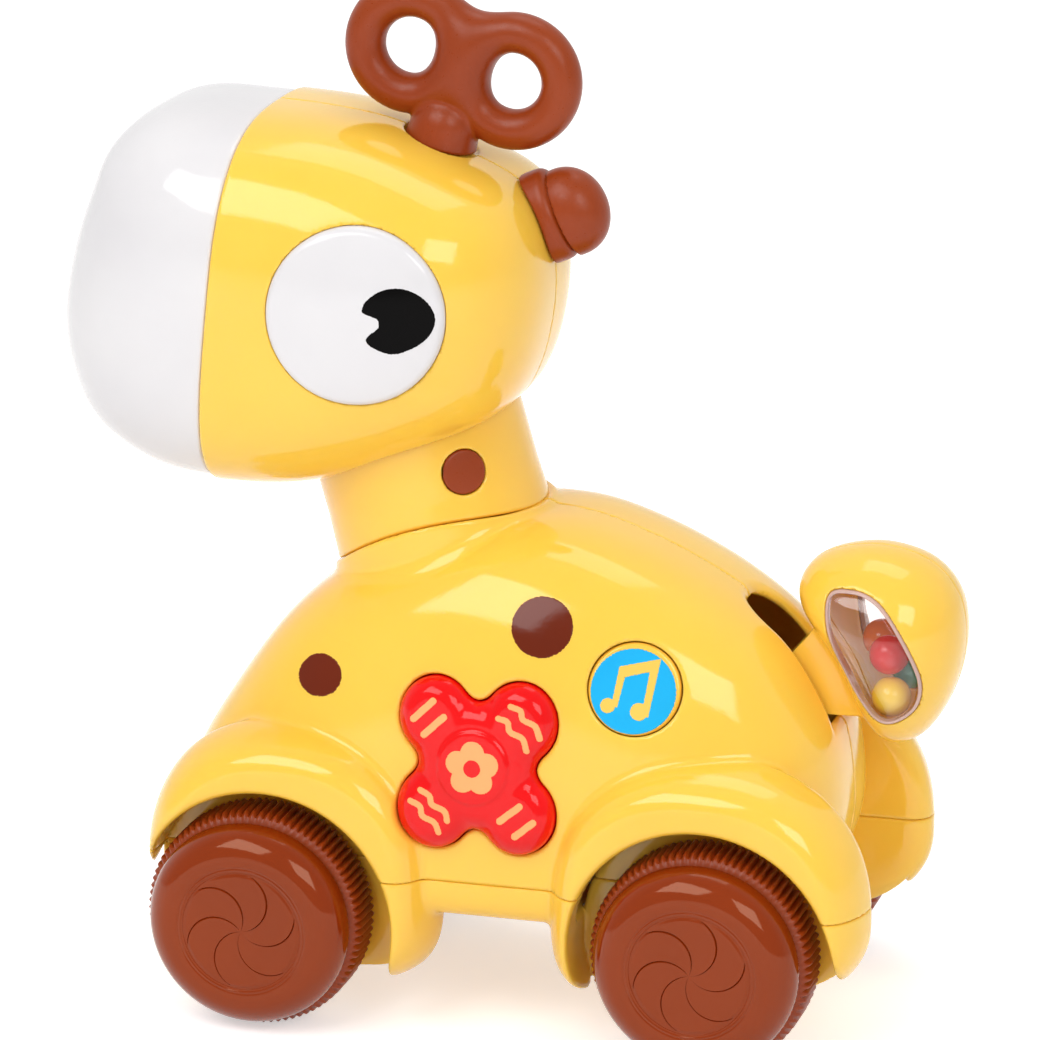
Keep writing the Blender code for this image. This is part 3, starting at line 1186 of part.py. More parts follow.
def build_tail():
    shell = tail_form("tail_blank", 0.0)
    stem = prism("tail_stem", tail_sector(TAIL_STEM_FROM, TAIL_STEM_TO, AXLE_RADIUS, TAIL_STEM_REACH),
                 -TAIL_STEM_HALF_WIDTH, TAIL_STEM_HALF_WIDTH, parts=False)
    hub_half = TAIL_STEM_HALF_WIDTH + GAP
    hub = rod("tail_hub", TAIL_HUB_RADIUS, -hub_half, hub_half, y_frame(*TAIL_PIN), parts=False,
              steps=SMALL_STEPS)
    combined(stem, "UNION", hub)
    combined(shell, "UNION", stem)
    combined(shell, "DIFFERENCE", tail_form("tail_hollow", -TAIL_WALL))
    bore = rod("tail_bore", AXLE_RADIUS + GAP, -BIG, BIG, y_frame(*TAIL_PIN), parts=False, steps=SMALL_STEPS)
    window = anticlockwise(closed_spline(WINDOW_OUTLINE, MIDDLE_STEPS))
    hole = prism("window_hole", grown(window, GAP), -BIG, BIG, parts=False)
    combined(shell, "DIFFERENCE", bore, hole)
    left = copied(shell, "tail_left", YELLOW)
    bpy.data.objects.remove(shell, do_unlink=True)
    combined(left, "INTERSECT", block("left_tail", (-BIG, -BIG, -BIG), (BIG, -HALF_GAP, BIG), parts=False))
    right = mirrored(left, "tail_right", YELLOW)
    pane = prism("tail_window_left", window, -BIG, -TAIL_WALL, finish=CLEAR)
    combined(pane, "INTERSECT", tail_form("pane_face", 0.0))
    combined(pane, "DIFFERENCE", tail_form("pane_back", -TAIL_WALL))
    for window_pane in (pane, mirrored(pane, "tail_window_right", CLEAR)):
        put_origin(window_pane, TAIL_PIN[0], 0, TAIL_PIN[1])
    for name, spot in BEADS.items():
        builder = bmesh.new()
        bmesh.ops.create_icosphere(builder, subdivisions=2, radius=BEAD_RADIUS)
        bmesh.ops.translate(builder, vec=spot, verts=builder.verts)
        bead = make_object(name, builder, material(name, BEAD_COLOURS[name], 0.2))
        put_origin(bead, TAIL_PIN[0], 0, TAIL_PIN[1])
    for half in (left, right):
        put_origin(half, TAIL_PIN[0], 0, TAIL_PIN[1])
    rod("tail_pin", AXLE_RADIUS, -PIN_HALF_LENGTH, PIN_HALF_LENGTH, y_frame(*TAIL_PIN), STEEL,
        steps=SMALL_STEPS)


build_base(build_body())
build_neck()
build_head()
build_tuft()
build_key()
build_plunger()
build_spring()
build_gears()
build_buttons()
build_power()
build_wheels()
build_tail()
smooth_round()
centre_over_origin()
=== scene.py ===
"""Looks of the press and go giraffe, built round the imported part.

Pieces are given in millimetres in the frame of the part's drawing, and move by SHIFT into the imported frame.
"""
import json
import math

import bmesh
import bpy
import numpy as np
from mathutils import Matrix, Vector


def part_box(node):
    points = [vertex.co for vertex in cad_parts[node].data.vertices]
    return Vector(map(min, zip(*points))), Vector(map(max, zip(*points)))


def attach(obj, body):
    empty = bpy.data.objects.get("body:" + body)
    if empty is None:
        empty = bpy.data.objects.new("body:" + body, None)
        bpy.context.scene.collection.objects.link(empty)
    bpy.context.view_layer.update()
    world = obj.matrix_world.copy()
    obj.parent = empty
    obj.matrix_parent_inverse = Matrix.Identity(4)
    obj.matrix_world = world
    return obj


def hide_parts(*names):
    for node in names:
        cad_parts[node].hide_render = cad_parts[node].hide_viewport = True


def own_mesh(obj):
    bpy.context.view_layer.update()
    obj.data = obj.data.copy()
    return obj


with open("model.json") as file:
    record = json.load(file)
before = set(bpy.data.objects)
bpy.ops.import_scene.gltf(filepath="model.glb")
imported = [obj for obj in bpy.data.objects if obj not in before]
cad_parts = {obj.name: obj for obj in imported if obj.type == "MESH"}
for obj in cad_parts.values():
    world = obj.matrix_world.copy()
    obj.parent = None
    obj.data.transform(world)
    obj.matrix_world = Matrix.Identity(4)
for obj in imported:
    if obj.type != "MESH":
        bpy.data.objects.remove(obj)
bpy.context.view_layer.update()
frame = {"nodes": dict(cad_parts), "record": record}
MM = 0.001

# Sizes that repeat the part's own
GAP = 0.3
WALL = 2.0
SEAM = 0.02
FRONT_AXLE_X = -38.2
REAR_AXLE_X = 43.6
WHEEL_RADIUS = 20.0
FLOOR_Z = 22.0
PARTING_Z = 29.6
LEG_INNER_Y = 21.8
LEG_OUTER_Y = 37.0
WELL_WALL_Y = LEG_INNER_Y + WALL + GAP
WELL_RADIUS = 22.4
LIP_ROOM = 1.4
NECK_RADIUS = 20.0
TAIL_PIN = (43.0, 57.0)
BODY_OUTLINE = [(62.8, 36), (62.4, 50), (59.4, 59.6), (52.4, 70.8), (43, 78.2), (33.9, 83.3), (24.8, 87.2),
                (13.8, 90.4), (2, 90.8), (-8.6, 88.6), (-19.7, 84.2), (-30.8, 77.2), (-40.3, 68.6),
                (-49.7, 55.4), (-56.4, 43.8), (-59.3, 33), (-54, 24), (-40, 19.5), (0, 18.5), (40, 19.5),
                (57, 25)]
HEAD_OUTLINE = [(31.4, 3), (30.2, 13), (27.8, 22.6), (20, 30.6), (6, 33.6), (-8, 35.6), (-20, 36), (-33, 34),
                (-43.6, 31.4), (-49.6, 26.6), (-53, 18.8), (-54.6, 10), (-54.2, -0.6), (-50.6, -8.8),
                (-38.4, -19.2), (-20, -29.4), (0, -33.8), (12.6, -32.6), (22.6, -27.2), (28.9, -17.2),
                (31.3, -8)]
TAIL_OUTLINE = [(53.2, 78.2), (56.4, 73.2), (60.8, 66.8), (65.2, 58), (70, 52.6), (76, 54.6), (80.8, 62.4),
                (82.8, 71.8), (81.4, 80.2), (76, 86), (67, 88.2), (58, 86.4), (53.6, 82.6)]
WINDOW_OUTLINE = [(60.1, 80.7), (64.6, 82.6), (69.8, 80.8), (74.4, 74.8), (77.2, 67.4), (76, 61.6),
                  (71.2, 58.8), (67.1, 61.8), (62, 70.3)]
BEADS = {"bead_red": (70.1, -5.3, 69.6), "bead_teal": (73.0, 0.3, 65.6), "bead_yellow": (70.8, -6.0, 62.2),
         "bead_orange": (67.4, 1.6, 70.3)}
BEAD_RADIUS = 3.6

SLOTS = {row["node"]: row["material_slot"] for row in frame["record"]["subparts"]}
low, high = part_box("rear_axle")
SHIFT = (low.x + high.x) / 2 / MM - REAR_AXLE_X
COARSE = 1.0


# Camera, lights and floor

CAMERA_LENS = 204.8
CAMERA_PLACE = (0.27801, -0.97551, 0.38196)
CAMERA_AIM = (-0.0056, 0.01879, 0.08156)
LAMP_AIM = (0.0, 0.0, 0.08)
# Each lamp's place, width and height, power, and roll about its own axis
SOFTBOXES = {"key_softbox": ((-0.36, -0.86, 0.95), (0.8, 0.6), 6.5, math.radians(-16)),
             "right_softbox": ((0.72, -0.90, 0.75), (0.55, 0.55), 4.0, math.radians(-20)),
             "top_softbox": ((0.05, 0.25, 1.25), (0.7, 0.5), 2.0, 0.0)}
WORLD_LEVEL = 0.55
ROOM_TINT = (1.0, 0.99, 0.97, 1.0)
PURE_WHITE = (1.0, 1.0, 1.0, 1.0)
FLOOR_TINT = (0.93, 0.93, 0.93, 1.0)
FLOOR_LIFT = 0.5
FLOOR_RADIUS = 3.0
FLOOR_LEVEL = -0.0002


def add_object(name, data):
    made = bpy.data.objects.new(name, data)
    bpy.context.scene.collection.objects.link(made)
    return made


def look_at(thing, place, aim):
    thing.location = Vector(place)
    thing.rotation_euler = (Vector(aim) - Vector(place)).to_track_quat("-Z", "Y").to_euler()


def add_camera():
    data = bpy.data.cameras.new("photo_camera")
    data.lens = CAMERA_LENS
    data.sensor_width = 36.0
    data.clip_start = 0.05
    data.clip_end = 20.0
    camera = add_object("photo_camera", data)
    look_at(camera, CAMERA_PLACE, CAMERA_AIM)
    bpy.context.scene.camera = camera


def add_softbox(name, place, size, power, roll):
    data = bpy.data.lights.new(name, "AREA")
    data.shape = "RECTANGLE"
    data.size, data.size_y = size
    data.energy = power
    lamp = add_object(name, data)
    look_at(lamp, place, LAMP_AIM)
    lamp.rotation_euler.rotate_axis("Z", roll)


def fill(tree, node, **inputs):
    """Sets a node's inputs to values, or links them to other nodes' outputs."""
    for name, value in inputs.items():
        socket = node.inputs[name.replace("_", " ")]
        if isinstance(value, bpy.types.NodeSocket):
            tree.links.new(value, socket)
        else:
            socket.default_value = value


def add_node(tree, kind, **inputs):
    made = tree.nodes.new("ShaderNode" + kind)
    fill(tree, made, **inputs)
    return made


def add_math(tree, operation, first, second):
    """A math node on two sockets, or on a socket and a number."""
    made = tree.nodes.new("ShaderNodeMath")
    made.operation = operation
    tree.links.new(first, made.inputs[0])
    if isinstance(second, float):
        made.inputs[1].default_value = second
    else:
        tree.links.new(second, made.inputs[1])
    return made.outputs["Value"]


def add_range(tree, source, from_low, from_high, to_low, to_high):
    return add_node(tree, "MapRange", Value=source, From_Min=from_low, From_Max=from_high, To_Min=to_low,
                    To_Max=to_high).outputs["Result"]


def mix_shaders(tree, share, first, second):
    mixer = add_node(tree, "MixShader", Fac=share)
    tree.links.new(first, mixer.inputs[1])
    tree.links.new(second, mixer.inputs[2])
    return mixer.outputs["Shader"]


def backdrop_share(tree):
    """One towards the white backdrop behind the toy, falling to nought towards the dim room before it."""
    place = add_node(tree, "TexCoord").outputs["Generated"]
    parts = add_node(tree, "SeparateXYZ", Vector=place)
    return add_range(tree, parts.outputs["Y"], -0.3, 0.3, 0.0, 1.0)


def seen_directly(tree, share=None):
    """One for rays from the camera, and for rays from a mirror or glass that meet the backdrop."""
    path = tree.nodes.new("ShaderNodeLightPath")
    bounced = add_math(tree, "MAXIMUM", path.outputs["Is Glossy Ray"], path.outputs["Is Transmission Ray"])
    if share is not None:
        bounced = add_math(tree, "MULTIPLY", bounced, share)
    return add_math(tree, "MAXIMUM", path.outputs["Is Camera Ray"], bounced)


def new_material(name):
    made = bpy.data.materials.new(name)
    made.use_nodes = True
    return made, made.node_tree


def add_world():
    world = bpy.data.worlds.new("studio")
    bpy.context.scene.world = world
    world.use_nodes = True
    tree = world.node_tree
    dim = tree.nodes["Background"]
    fill(tree, dim, Color=ROOM_TINT, Strength=WORLD_LEVEL)
    bright = add_node(tree, "Background", Color=PURE_WHITE)
    mixed = mix_shaders(tree, seen_directly(tree, backdrop_share(tree)),
                        dim.outputs["Background"], bright.outputs["Background"])
    fill(tree, tree.nodes["World Output"], Surface=mixed)


def add_floor():
    builder = bmesh.new()
    bmesh.ops.create_circle(builder, cap_ends=True, segments=64, radius=FLOOR_RADIUS)
    mesh = bpy.data.meshes.new("floor")
    builder.to_mesh(mesh)
    builder.free()
    floor = add_object("floor", mesh)
    floor.location.z = FLOOR_LEVEL
    pale, tree = new_material("pale_floor")
    lift = add_math(tree, "MULTIPLY", seen_directly(tree), FLOOR_LIFT)
    fill(tree, tree.nodes["Principled BSDF"], Base_Color=FLOOR_TINT, Roughness=0.9,
         Emission_Color=PURE_WHITE, Emission_Strength=lift)
    mesh.materials.append(pale)


def add_stage():
    add_world()
    add_floor()
    for name, lamp in SOFTBOXES.items():
        add_softbox(name, *lamp)


# Finishes

NOISE_SPAN = (0.3, 0.7)
GLOSS_DRIFT = (0.85, 1.2)
GRAIN_HEIGHT = 0.0004
PANE_ROUGHNESS = (0.03, 0.06)
PANE_GLOSS = (0.03, 0.15)


def colour(red, green, blue):
    """An sRGB colour, 0 to 255, as the shader's linear one."""
    def linear(part):
        part /= 255.0
        return part / 12.92 if part <= 0.04045 else ((part + 0.055) / 1.055) ** 2.4
    return (linear(red), linear(green), linear(blue), 1.0)


def add_noise(tree, place, scale, detail):
    return add_node(tree, "TexNoise", Vector=place, Scale=scale, Detail=detail).outputs["Fac"]


def finish(name, light, deep, rough, grain=1400.0, bump=0.03, cloud=45.0, **sockets):
    """A moulded finish: its tint drifts between two colours, its gloss and skin carry a fine grain."""
    made, tree = new_material(name)
    place = add_node(tree, "TexCoord").outputs["Object"]
    drift = add_range(tree, add_noise(tree, place, cloud, 3.0), *NOISE_SPAN, 0.0, 1.0)
    tint = tree.nodes.new("ShaderNodeMix")
    tint.data_type = "RGBA"
    fill(tree, tint, A=colour(*light), B=colour(*deep), Factor=drift)
    skin = add_noise(tree, place, grain, 2.0)
    gloss = add_range(tree, skin, *NOISE_SPAN, rough * GLOSS_DRIFT[0], rough * GLOSS_DRIFT[1])
    relief = add_node(tree, "Bump", Strength=bump, Distance=GRAIN_HEIGHT, Height=skin)
    fill(tree, tree.nodes["Principled BSDF"], Base_Color=tint.outputs["Result"], Roughness=gloss,
         Normal=relief.outputs["Normal"], **sockets)
    return made


def clear_finish(name, tint):
    """Thin clear plastic: tinted light passes straight through under a glossy skin."""
    made, tree = new_material(name)
    through = add_node(tree, "BsdfTransparent", Color=tint)
    ripple = add_noise(tree, add_node(tree, "TexCoord").outputs["Object"], 300.0, 2.0)
    skin = add_node(tree, "BsdfGlossy", Color=PURE_WHITE,
                    Roughness=add_range(tree, ripple, *NOISE_SPAN, *PANE_ROUGHNESS))
    edge = add_node(tree, "LayerWeight", Blend=0.3)
    share = add_range(tree, edge.outputs["Facing"], 0.0, 1.0, *PANE_GLOSS)
    mixed = mix_shaders(tree, share, through.outputs["BSDF"], skin.outputs["BSDF"])
    fill(tree, tree.nodes["Material Output"], Surface=mixed)
    return made


DULL = {"Specular_IOR_Level": 0.3}
GLOW = {"Subsurface_Weight": 0.15, "Subsurface_Scale": 0.004, "Subsurface_Radius": (1.0, 0.55, 0.1)}
WARM = {"Specular_IOR_Level": 0.45, "Specular_Tint": (1.0, 0.7, 0.5, 1.0)}
YELLOW = finish("yellow_moulded", (255, 206, 78), (255, 202, 72), 0.09, **GLOW)
WHITE = finish("white_moulded", (226, 224, 226), (222, 220, 223), 0.1)
BROWN = finish("brown_satin", (150, 60, 17), (143, 55, 14), 0.32, bump=0.05, **DULL)
BROWN_GLOSS = finish("brown_gloss", (142, 50, 9), (135, 46, 7), 0.07, bump=0.015, **WARM)
SPOT = finish("spot_ink", (112, 34, 0), (104, 30, 0), 0.1, **DULL)
RED = finish("red_gloss", (240, 8, 13), (230, 5, 10), 0.07, **DULL)
PEACH = finish("peach_ink", (255, 178, 114), (253, 170, 104), 0.2, **DULL)
BLUE = finish("blue_ink", (30, 182, 242), (22, 174, 238), 0.1, **DULL)
NOTE = finish("note_ink", (246, 206, 96), (242, 198, 86), 0.15, **DULL)
BLACK_INK = finish("black_ink", (3, 3, 3), (8, 6, 6), 0.06, bump=0.01, Specular_IOR_Level=0.06)
CLEAR = clear_finish("clear_window", (0.99, 0.965, 0.96, 1.0))
WINDOW_RIM = finish("window_rim", (208, 176, 168), (200, 166, 158), 0.14)
STEEL = finish("bright_steel", (200, 200, 202), (176, 176, 178), 0.26, grain=2600.0, Metallic=1.0)
NYLON = finish("natural_nylon", (231, 228, 216), (222, 217, 202), 0.45)
SILICONE = finish("grey_silicone", (196, 196, 198), (184, 184, 188), 0.62, bump=0.1)
BOARD = finish("green_lacquer", (38, 128, 82), (28, 112, 70), 0.4, cloud=260.0)
BLACK = finish("black_matt", (44, 44, 45), (36, 36, 37), 0.5, bump=0.1)
BEAD_COLOURS = {"bead_red": ((226, 12, 20), (214, 8, 16)), "bead_teal": ((88, 196, 186), (78, 186, 178)),
                "bead_yellow": ((252, 222, 70), (248, 214, 60)),
                "bead_orange": ((250, 150, 84), (246, 140, 74))}
BEAD_FINISH = {bead: finish(bead + "_gloss", *tints, 0.12) for bead, tints in BEAD_COLOURS.items()}
SLOT_FINISH = {"yellow_plastic": YELLOW, "white_plastic": WHITE, "brown_plastic": BROWN, "red_plastic": RED,
               "clear_plastic": CLEAR, "steel": STEEL, "nylon": NYLON, "silicone": SILICONE,
               "circuit_board": BOARD, "black_plastic": BLACK, **BEAD_FINISH}


# Fields: each takes points as rows and gives distances, negative inside

def soft_min(a, b, reach):
    share = np.clip(0.5 + 0.5 * (b - a) / reach, 0.0, 1.0)
    return b * (1 - share) + a * share - reach * share * (1 - share)


def soft_max(a, b, reach):
    return -soft_min(-a, -b, reach)


def cut(solid, hole, edge=None):
    """A solid without a hole, with the hole's edge rounded where that is asked for."""
    return np.maximum(solid, -hole) if edge is None else soft_max(solid, -hole, edge)


def sharp_max(*parts):
    return np.maximum.reduce(parts)


def sharp_min(*parts):
    return np.minimum.reduce(parts)


def spline(p0, p1, p2, p3, t):
    """A smooth curve from p1 to p2, led by the points before and after them."""
    return 0.5 * (2 * p1 + (p2 - p0) * t + (2 * p0 - 5 * p1 + 4 * p2 - p3) * t ** 2
                  + (3 * p1 - p0 - 3 * p2 + p3) * t ** 3)


def closed_spline(points, count):
    points = np.array(points, float)
    total = len(points)
    place = np.arange(count) * total / count
    index = place.astype(int)
    t = (place - index)[:, None]
    return spline(*(points[(index + k - 1) % total] for k in range(4)), t)


def open_spline(points, steps):
    """A smooth line through points, with a few steps between each two."""
    points = np.array([points[0], *points, points[-1]], float)
    line = []
    for four in zip(points, points[1:], points[2:], points[3:]):
        line += [spline(*four, t) for t in np.arange(steps) / steps]
    return line + [points[-1]]


TABLE_STEPS = 1440


def radial_table(outline, centre, fairing):
    """Distance from the centre to the outline at each angle, faired over a few degrees, and its slope."""
    curve = closed_spline(outline, 4 * TABLE_STEPS) - np.array(centre)
    angle = np.arctan2(curve[:, 1], curve[:, 0])
    order = np.argsort(angle)
    grid = -math.pi + 2 * math.pi * np.arange(TABLE_STEPS) / TABLE_STEPS
    reach = np.interp(grid, angle[order], np.hypot(*curve.T)[order], period=2 * math.pi)
    half = int(3 * fairing)
    weight = np.exp(-0.5 * (np.arange(-half, half + 1) / fairing) ** 2)
    wrapped = np.concatenate([reach[-half:], reach, reach[:half]])
    reach = np.convolve(wrapped, weight / weight.sum(), "valid")
    slope = (np.roll(reach, -1) - np.roll(reach, 1)) / (4 * math.pi / TABLE_STEPS)
    return reach, slope


def table_lookup(table, angle):
    place = (angle + math.pi) / (2 * math.pi) * TABLE_STEPS
    index = np.floor(place).astype(int)
    share = place - index
    return table[index % TABLE_STEPS] * (1 - share) + table[(index + 1) % TABLE_STEPS] * share


def radial_outline(outline, centre, fairing):
    """A function of a place: the outline's distance from its centre there, and the slant of its edge."""
    reach, slope = radial_table(outline, centre, fairing)

    def at(x, z):
        angle = np.arctan2(z, x)
        radius = table_lookup(reach, angle)
        return radius, np.sqrt(1 + (table_lookup(slope, angle) / radius) ** 2)
    return at


def super_oval(first, second, power, first_size, second_size):
    """Distance from a superellipse, at shares of its two half sizes."""
    total = np.maximum(first ** power + second ** power, 1e-6)
    steep = np.hypot(first ** (power - 1) / first_size, second ** (power - 1) / second_size)
    steep = steep * total ** (1 / power - 1)
    return np.clip((total ** (1 / power) - 1) / np.maximum(steep, 1e-4), -30.0, 60.0)


def swelled(outline, centre, half_width, power, place=(0.0, 0.0), tilt=None, fairing=8):
    """A mid-plane outline swelled to both sides; with a tilt, the outline is (forward, up) from the place."""
    at = radial_outline(outline, centre, fairing)

    def field(points):
        x = points[:, 0] - place[0]
        z = points[:, 2] - place[1]
        if tilt is not None:
            x, z = -x * math.cos(tilt) + z * math.sin(tilt), x * math.sin(tilt) + z * math.cos(tilt)
        x = x - centre[0]
        z = z - centre[1]
        radius, slant = at(x, z)
        across = np.abs(points[:, 1]) / half_width
        return super_oval(np.hypot(x, z) / radius, across, power, radius / slant, half_width)
    return field


def flat_shape(outline, centre, fairing=4):
    """Distance from an (x, z) outline, for pieces that run through along Y."""
    at = radial_outline(outline, centre, fairing)

    def field(points):
        x = points[:, 0] - centre[0]
        z = points[:, 2] - centre[1]
        radius, slant = at(x, z)
        return (np.hypot(x, z) - radius) / slant
    return field


class Place:
    """An origin with three axes: across, up and out."""

    def __init__(self, origin, across, up, out):
        self.origin = np.array(origin, float)
        self.axes = np.array([across, up, out], float)

    def local(self, points):
        return ((points - self.origin) @ self.axes.T).T

    def world(self, local):
        return self.origin + np.asarray(local) @ self.axes


def facing(origin, out):
    """A place whose across axis runs towards the rear as far as it can."""
    out = np.array(out, float) / np.linalg.norm(out)
    across = np.array([1.0, 0, 0]) - out * out[0]
    across /= np.linalg.norm(across)
    return Place(origin, across, np.cross(out, across), out)


def upright(origin, lean):
    """A place whose out axis leans from Z towards the rear."""
    return Place(origin, (math.cos(lean), 0, -math.sin(lean)), (0, 1, 0), (math.sin(lean), 0, math.cos(lean)))


NECK = upright((-12.7, 0, 85.0), math.radians(-16))
KEY = upright((-13.4, 0, 155.0), math.radians(16.3))
FLOWER_TILT = math.radians(6)
FLOWER = facing((2.5, -33.6, 51.7), (0, -math.cos(FLOWER_TILT), math.sin(FLOWER_TILT)))
MUSIC_TILT = math.radians(19)
MUSIC_TURN = math.radians(14)
MUSIC = facing((29.6, -26.4, 66.2), (math.sin(MUSIC_TURN) * math.cos(MUSIC_TILT),
                                      -math.cos(MUSIC_TURN) * math.cos(MUSIC_TILT), math.sin(MUSIC_TILT)))
EYE_TURN = math.radians(11)
EYE = facing((-25.6, 0, 130.7), (math.sin(EYE_TURN), -math.cos(EYE_TURN), 0))
PLUG_TURN = math.radians(52)
PLUG_OUT = NECK.axes[0] * math.cos(PLUG_TURN) - NECK.axes[1] * math.sin(PLUG_TURN)
PLUG = facing(NECK.world((0, 0, 12.0)), PLUG_OUT)

BODY = swelled(BODY_OUTLINE, (3.0, 29.6), 32.8, 3.2)
HEAD_TILT = math.radians(11.5)
HEAD = swelled(HEAD_OUTLINE, (-11.0, 1.0), 33.0, 3.0, (-48.0, 127.6), HEAD_TILT)
TAIL = swelled(TAIL_OUTLINE, (69.0, 71.5), 15.0, 2.2, fairing=14)
WINDOW = flat_shape(WINDOW_OUTLINE, (68.6, 70.0))


def cylinder(place, points, radius, bottom=-400.0, top=400.0):
    across, up, out = place.local(points)
    return sharp_max(np.hypot(across, up) - radius, bottom - out, out - top)


def y_disc(points, x, z, radius):
    return np.hypot(points[:, 0] - x, points[:, 2] - z) - radius


def slab(points, bottom, top):
    """A box between two corners."""
    middle = (np.array(top) + np.array(bottom)) / 2
    off = np.abs(points - middle) - (np.array(top) - np.array(bottom)) / 2
    return np.linalg.norm(np.maximum(off, 0), axis=1) + np.minimum(off.max(axis=1), 0)


# Body

AXLES = (FRONT_AXLE_X, REAR_AXLE_X)
ARCH_Z = 27.0
ARCH_RISE = 28.0
ARCH_ROUND = 13.0
ARCH_INSET = 7.0
ARCH_POWER = 2.3
ARCH_CREASE = 1.3
INNER_ROUND = 5.0
FRONT_ARCH = {"middle_x": -32.8, "half_length": 27.4, "foot_levels": (7.3, 7.3), "foot_powers": (3.6, 3.6)}
REAR_ARCH = {"middle_x": 43.4, "half_length": 28.9, "foot_levels": (6.5, 10.6), "foot_powers": (3.6, 2.4)}
MOUTH_Z = 22.3
MOUTH_SLOPE = 0.6
FRONT_WELL_SHIFT = 2.0
LIP_EDGE = 1.6
RIM_FRONT = (-31.6, 78.4)
RIM_BACK = (6.2, 91.4)
RIM_SADDLE = 5.0
RIM_STEEPNESS = 1.06
ROOT_RADIUS = NECK_RADIUS + 0.6
ROOT_BOTTOM = -9.0


def arch(points, middle_x, half_length, foot_levels, foot_powers):
    """A leg: round arch on top, squarer foot, its outer rim rounded over.

    The foot's level and squareness are given at its front and at its back end.
    """
    along = (points[:, 0] - middle_x) / half_length
    share = np.clip((along + 1) / 2, 0, 1)
    foot_z = foot_levels[0] + share * (foot_levels[1] - foot_levels[0])
    foot_power = foot_powers[0] + share * (foot_powers[1] - foot_powers[0])
    rise = points[:, 2] - ARCH_Z
    power = np.where(rise > 0, ARCH_POWER, foot_power)
    size = np.where(rise > 0, ARCH_RISE, ARCH_Z - foot_z)
    side = super_oval(np.abs(along), np.abs(rise) / size, power, half_length, size)
    depth = np.abs(points[:, 1]) - LEG_OUTER_Y + ARCH_ROUND
    p = np.maximum((side + ARCH_INSET) / ARCH_INSET, 0)
    q = np.maximum(depth / ARCH_ROUND, 0)
    both = np.maximum(np.hypot(p, q), 1e-6)
    rounded = (both - 1) * both / np.maximum(np.hypot(p / ARCH_INSET, q / ARCH_ROUND), 1e-6)
    deep_inside = sharp_max(side, depth - ARCH_ROUND)
    leg = np.where(both < 0.05, deep_inside, rounded)
    return soft_max(leg, LEG_INNER_Y - np.abs(points[:, 1]), INNER_ROUND)


def above_rim(points):
    """Height over the neck's rim, which is higher at the sides than on the mid-plane."""
    slope = (RIM_BACK[1] - RIM_FRONT[1]) / (RIM_BACK[0] - RIM_FRONT[0])
    middle = RIM_FRONT[1] + slope * (points[:, 0] - RIM_FRONT[0])
    return (points[:, 2] - middle - RIM_SADDLE * (points[:, 1] / NECK_RADIUS) ** 2) / RIM_STEEPNESS


def well_x(axle_x):
    return axle_x + (FRONT_WELL_SHIFT if axle_x < 0 else 0.0)


def body_outside(points):
    form = soft_max(BODY(points), FLOOR_Z - points[:, 2], 2.0)
    for leg in (FRONT_ARCH, REAR_ARCH):
        form = soft_min(form, arch(points, **leg), ARCH_CREASE)
    root = cylinder(NECK, points, ROOT_RADIUS, ROOT_BOTTOM)
    return soft_min(form, soft_max(root, above_rim(points) + GAP / 2, 0.8), 2.0)


def body_cavity(points):
    side = np.abs(points[:, 1])
    room = sharp_max(BODY(points) + WALL, FLOOR_Z + WALL - points[:, 2])
    for axle_x in AXLES:
        jacket = sharp_max(y_disc(points, well_x(axle_x), WHEEL_RADIUS, WELL_RADIUS + WALL),
                           WELL_WALL_Y - WALL - side)
        room = cut(room, jacket)
    return room


def wheel_rooms(points):
    side = WELL_WALL_Y - np.abs(points[:, 1])
    rooms = [sharp_max(y_disc(points, well_x(x), WHEEL_RADIUS, WELL_RADIUS + LIP_ROOM), side) for x in AXLES]
    mouth_z = MOUTH_Z - MOUTH_SLOPE * (LEG_OUTER_Y - np.abs(points[:, 1]))
    mouth = sharp_max(points[:, 0] - well_x(FRONT_AXLE_X), points[:, 2] - mouth_z, side)
    return sharp_min(*rooms, mouth)


def body_shell(points):
    shell = cut(body_outside(points), body_cavity(points))
    return cut(shell, wheel_rooms(points), LIP_EDGE)


SLOT_FROM = math.radians(-3)
SLOT_TO = math.radians(88)
SLOT_BEYOND = math.radians(170)
SLOT_ROUND = 5.5
SLOT_HALF_WIDTH = 6.4
SLOT_INNER = 9.0
SLOT_OUTER = 34.0


def tail_sector(points, start, end, inner, outer):
    x = points[:, 0] - TAIL_PIN[0]
    z = points[:, 2] - TAIL_PIN[1]
    radius = np.hypot(x, z)
    return sharp_max(inner - radius, radius - outer, x * math.sin(start) - z * math.cos(start),
                     z * math.cos(end) - x * math.sin(end))


def tail_slot(points):
    """The opening that the tail swings in, rounded at its upper end."""
    x = points[:, 0] - TAIL_PIN[0]
    z = points[:, 2] - TAIL_PIN[1]
    above = z * math.cos(SLOT_TO) - x * math.sin(SLOT_TO) + SLOT_ROUND
    beside = np.abs(points[:, 1]) - SLOT_HALF_WIDTH + SLOT_ROUND
    corner = np.hypot(np.maximum(above, 0), np.maximum(beside, 0)) + np.minimum(np.maximum(above, beside), 0)
    return sharp_max(corner - SLOT_ROUND, tail_sector(points, SLOT_FROM, SLOT_BEYOND, SLOT_INNER, SLOT_OUTER))


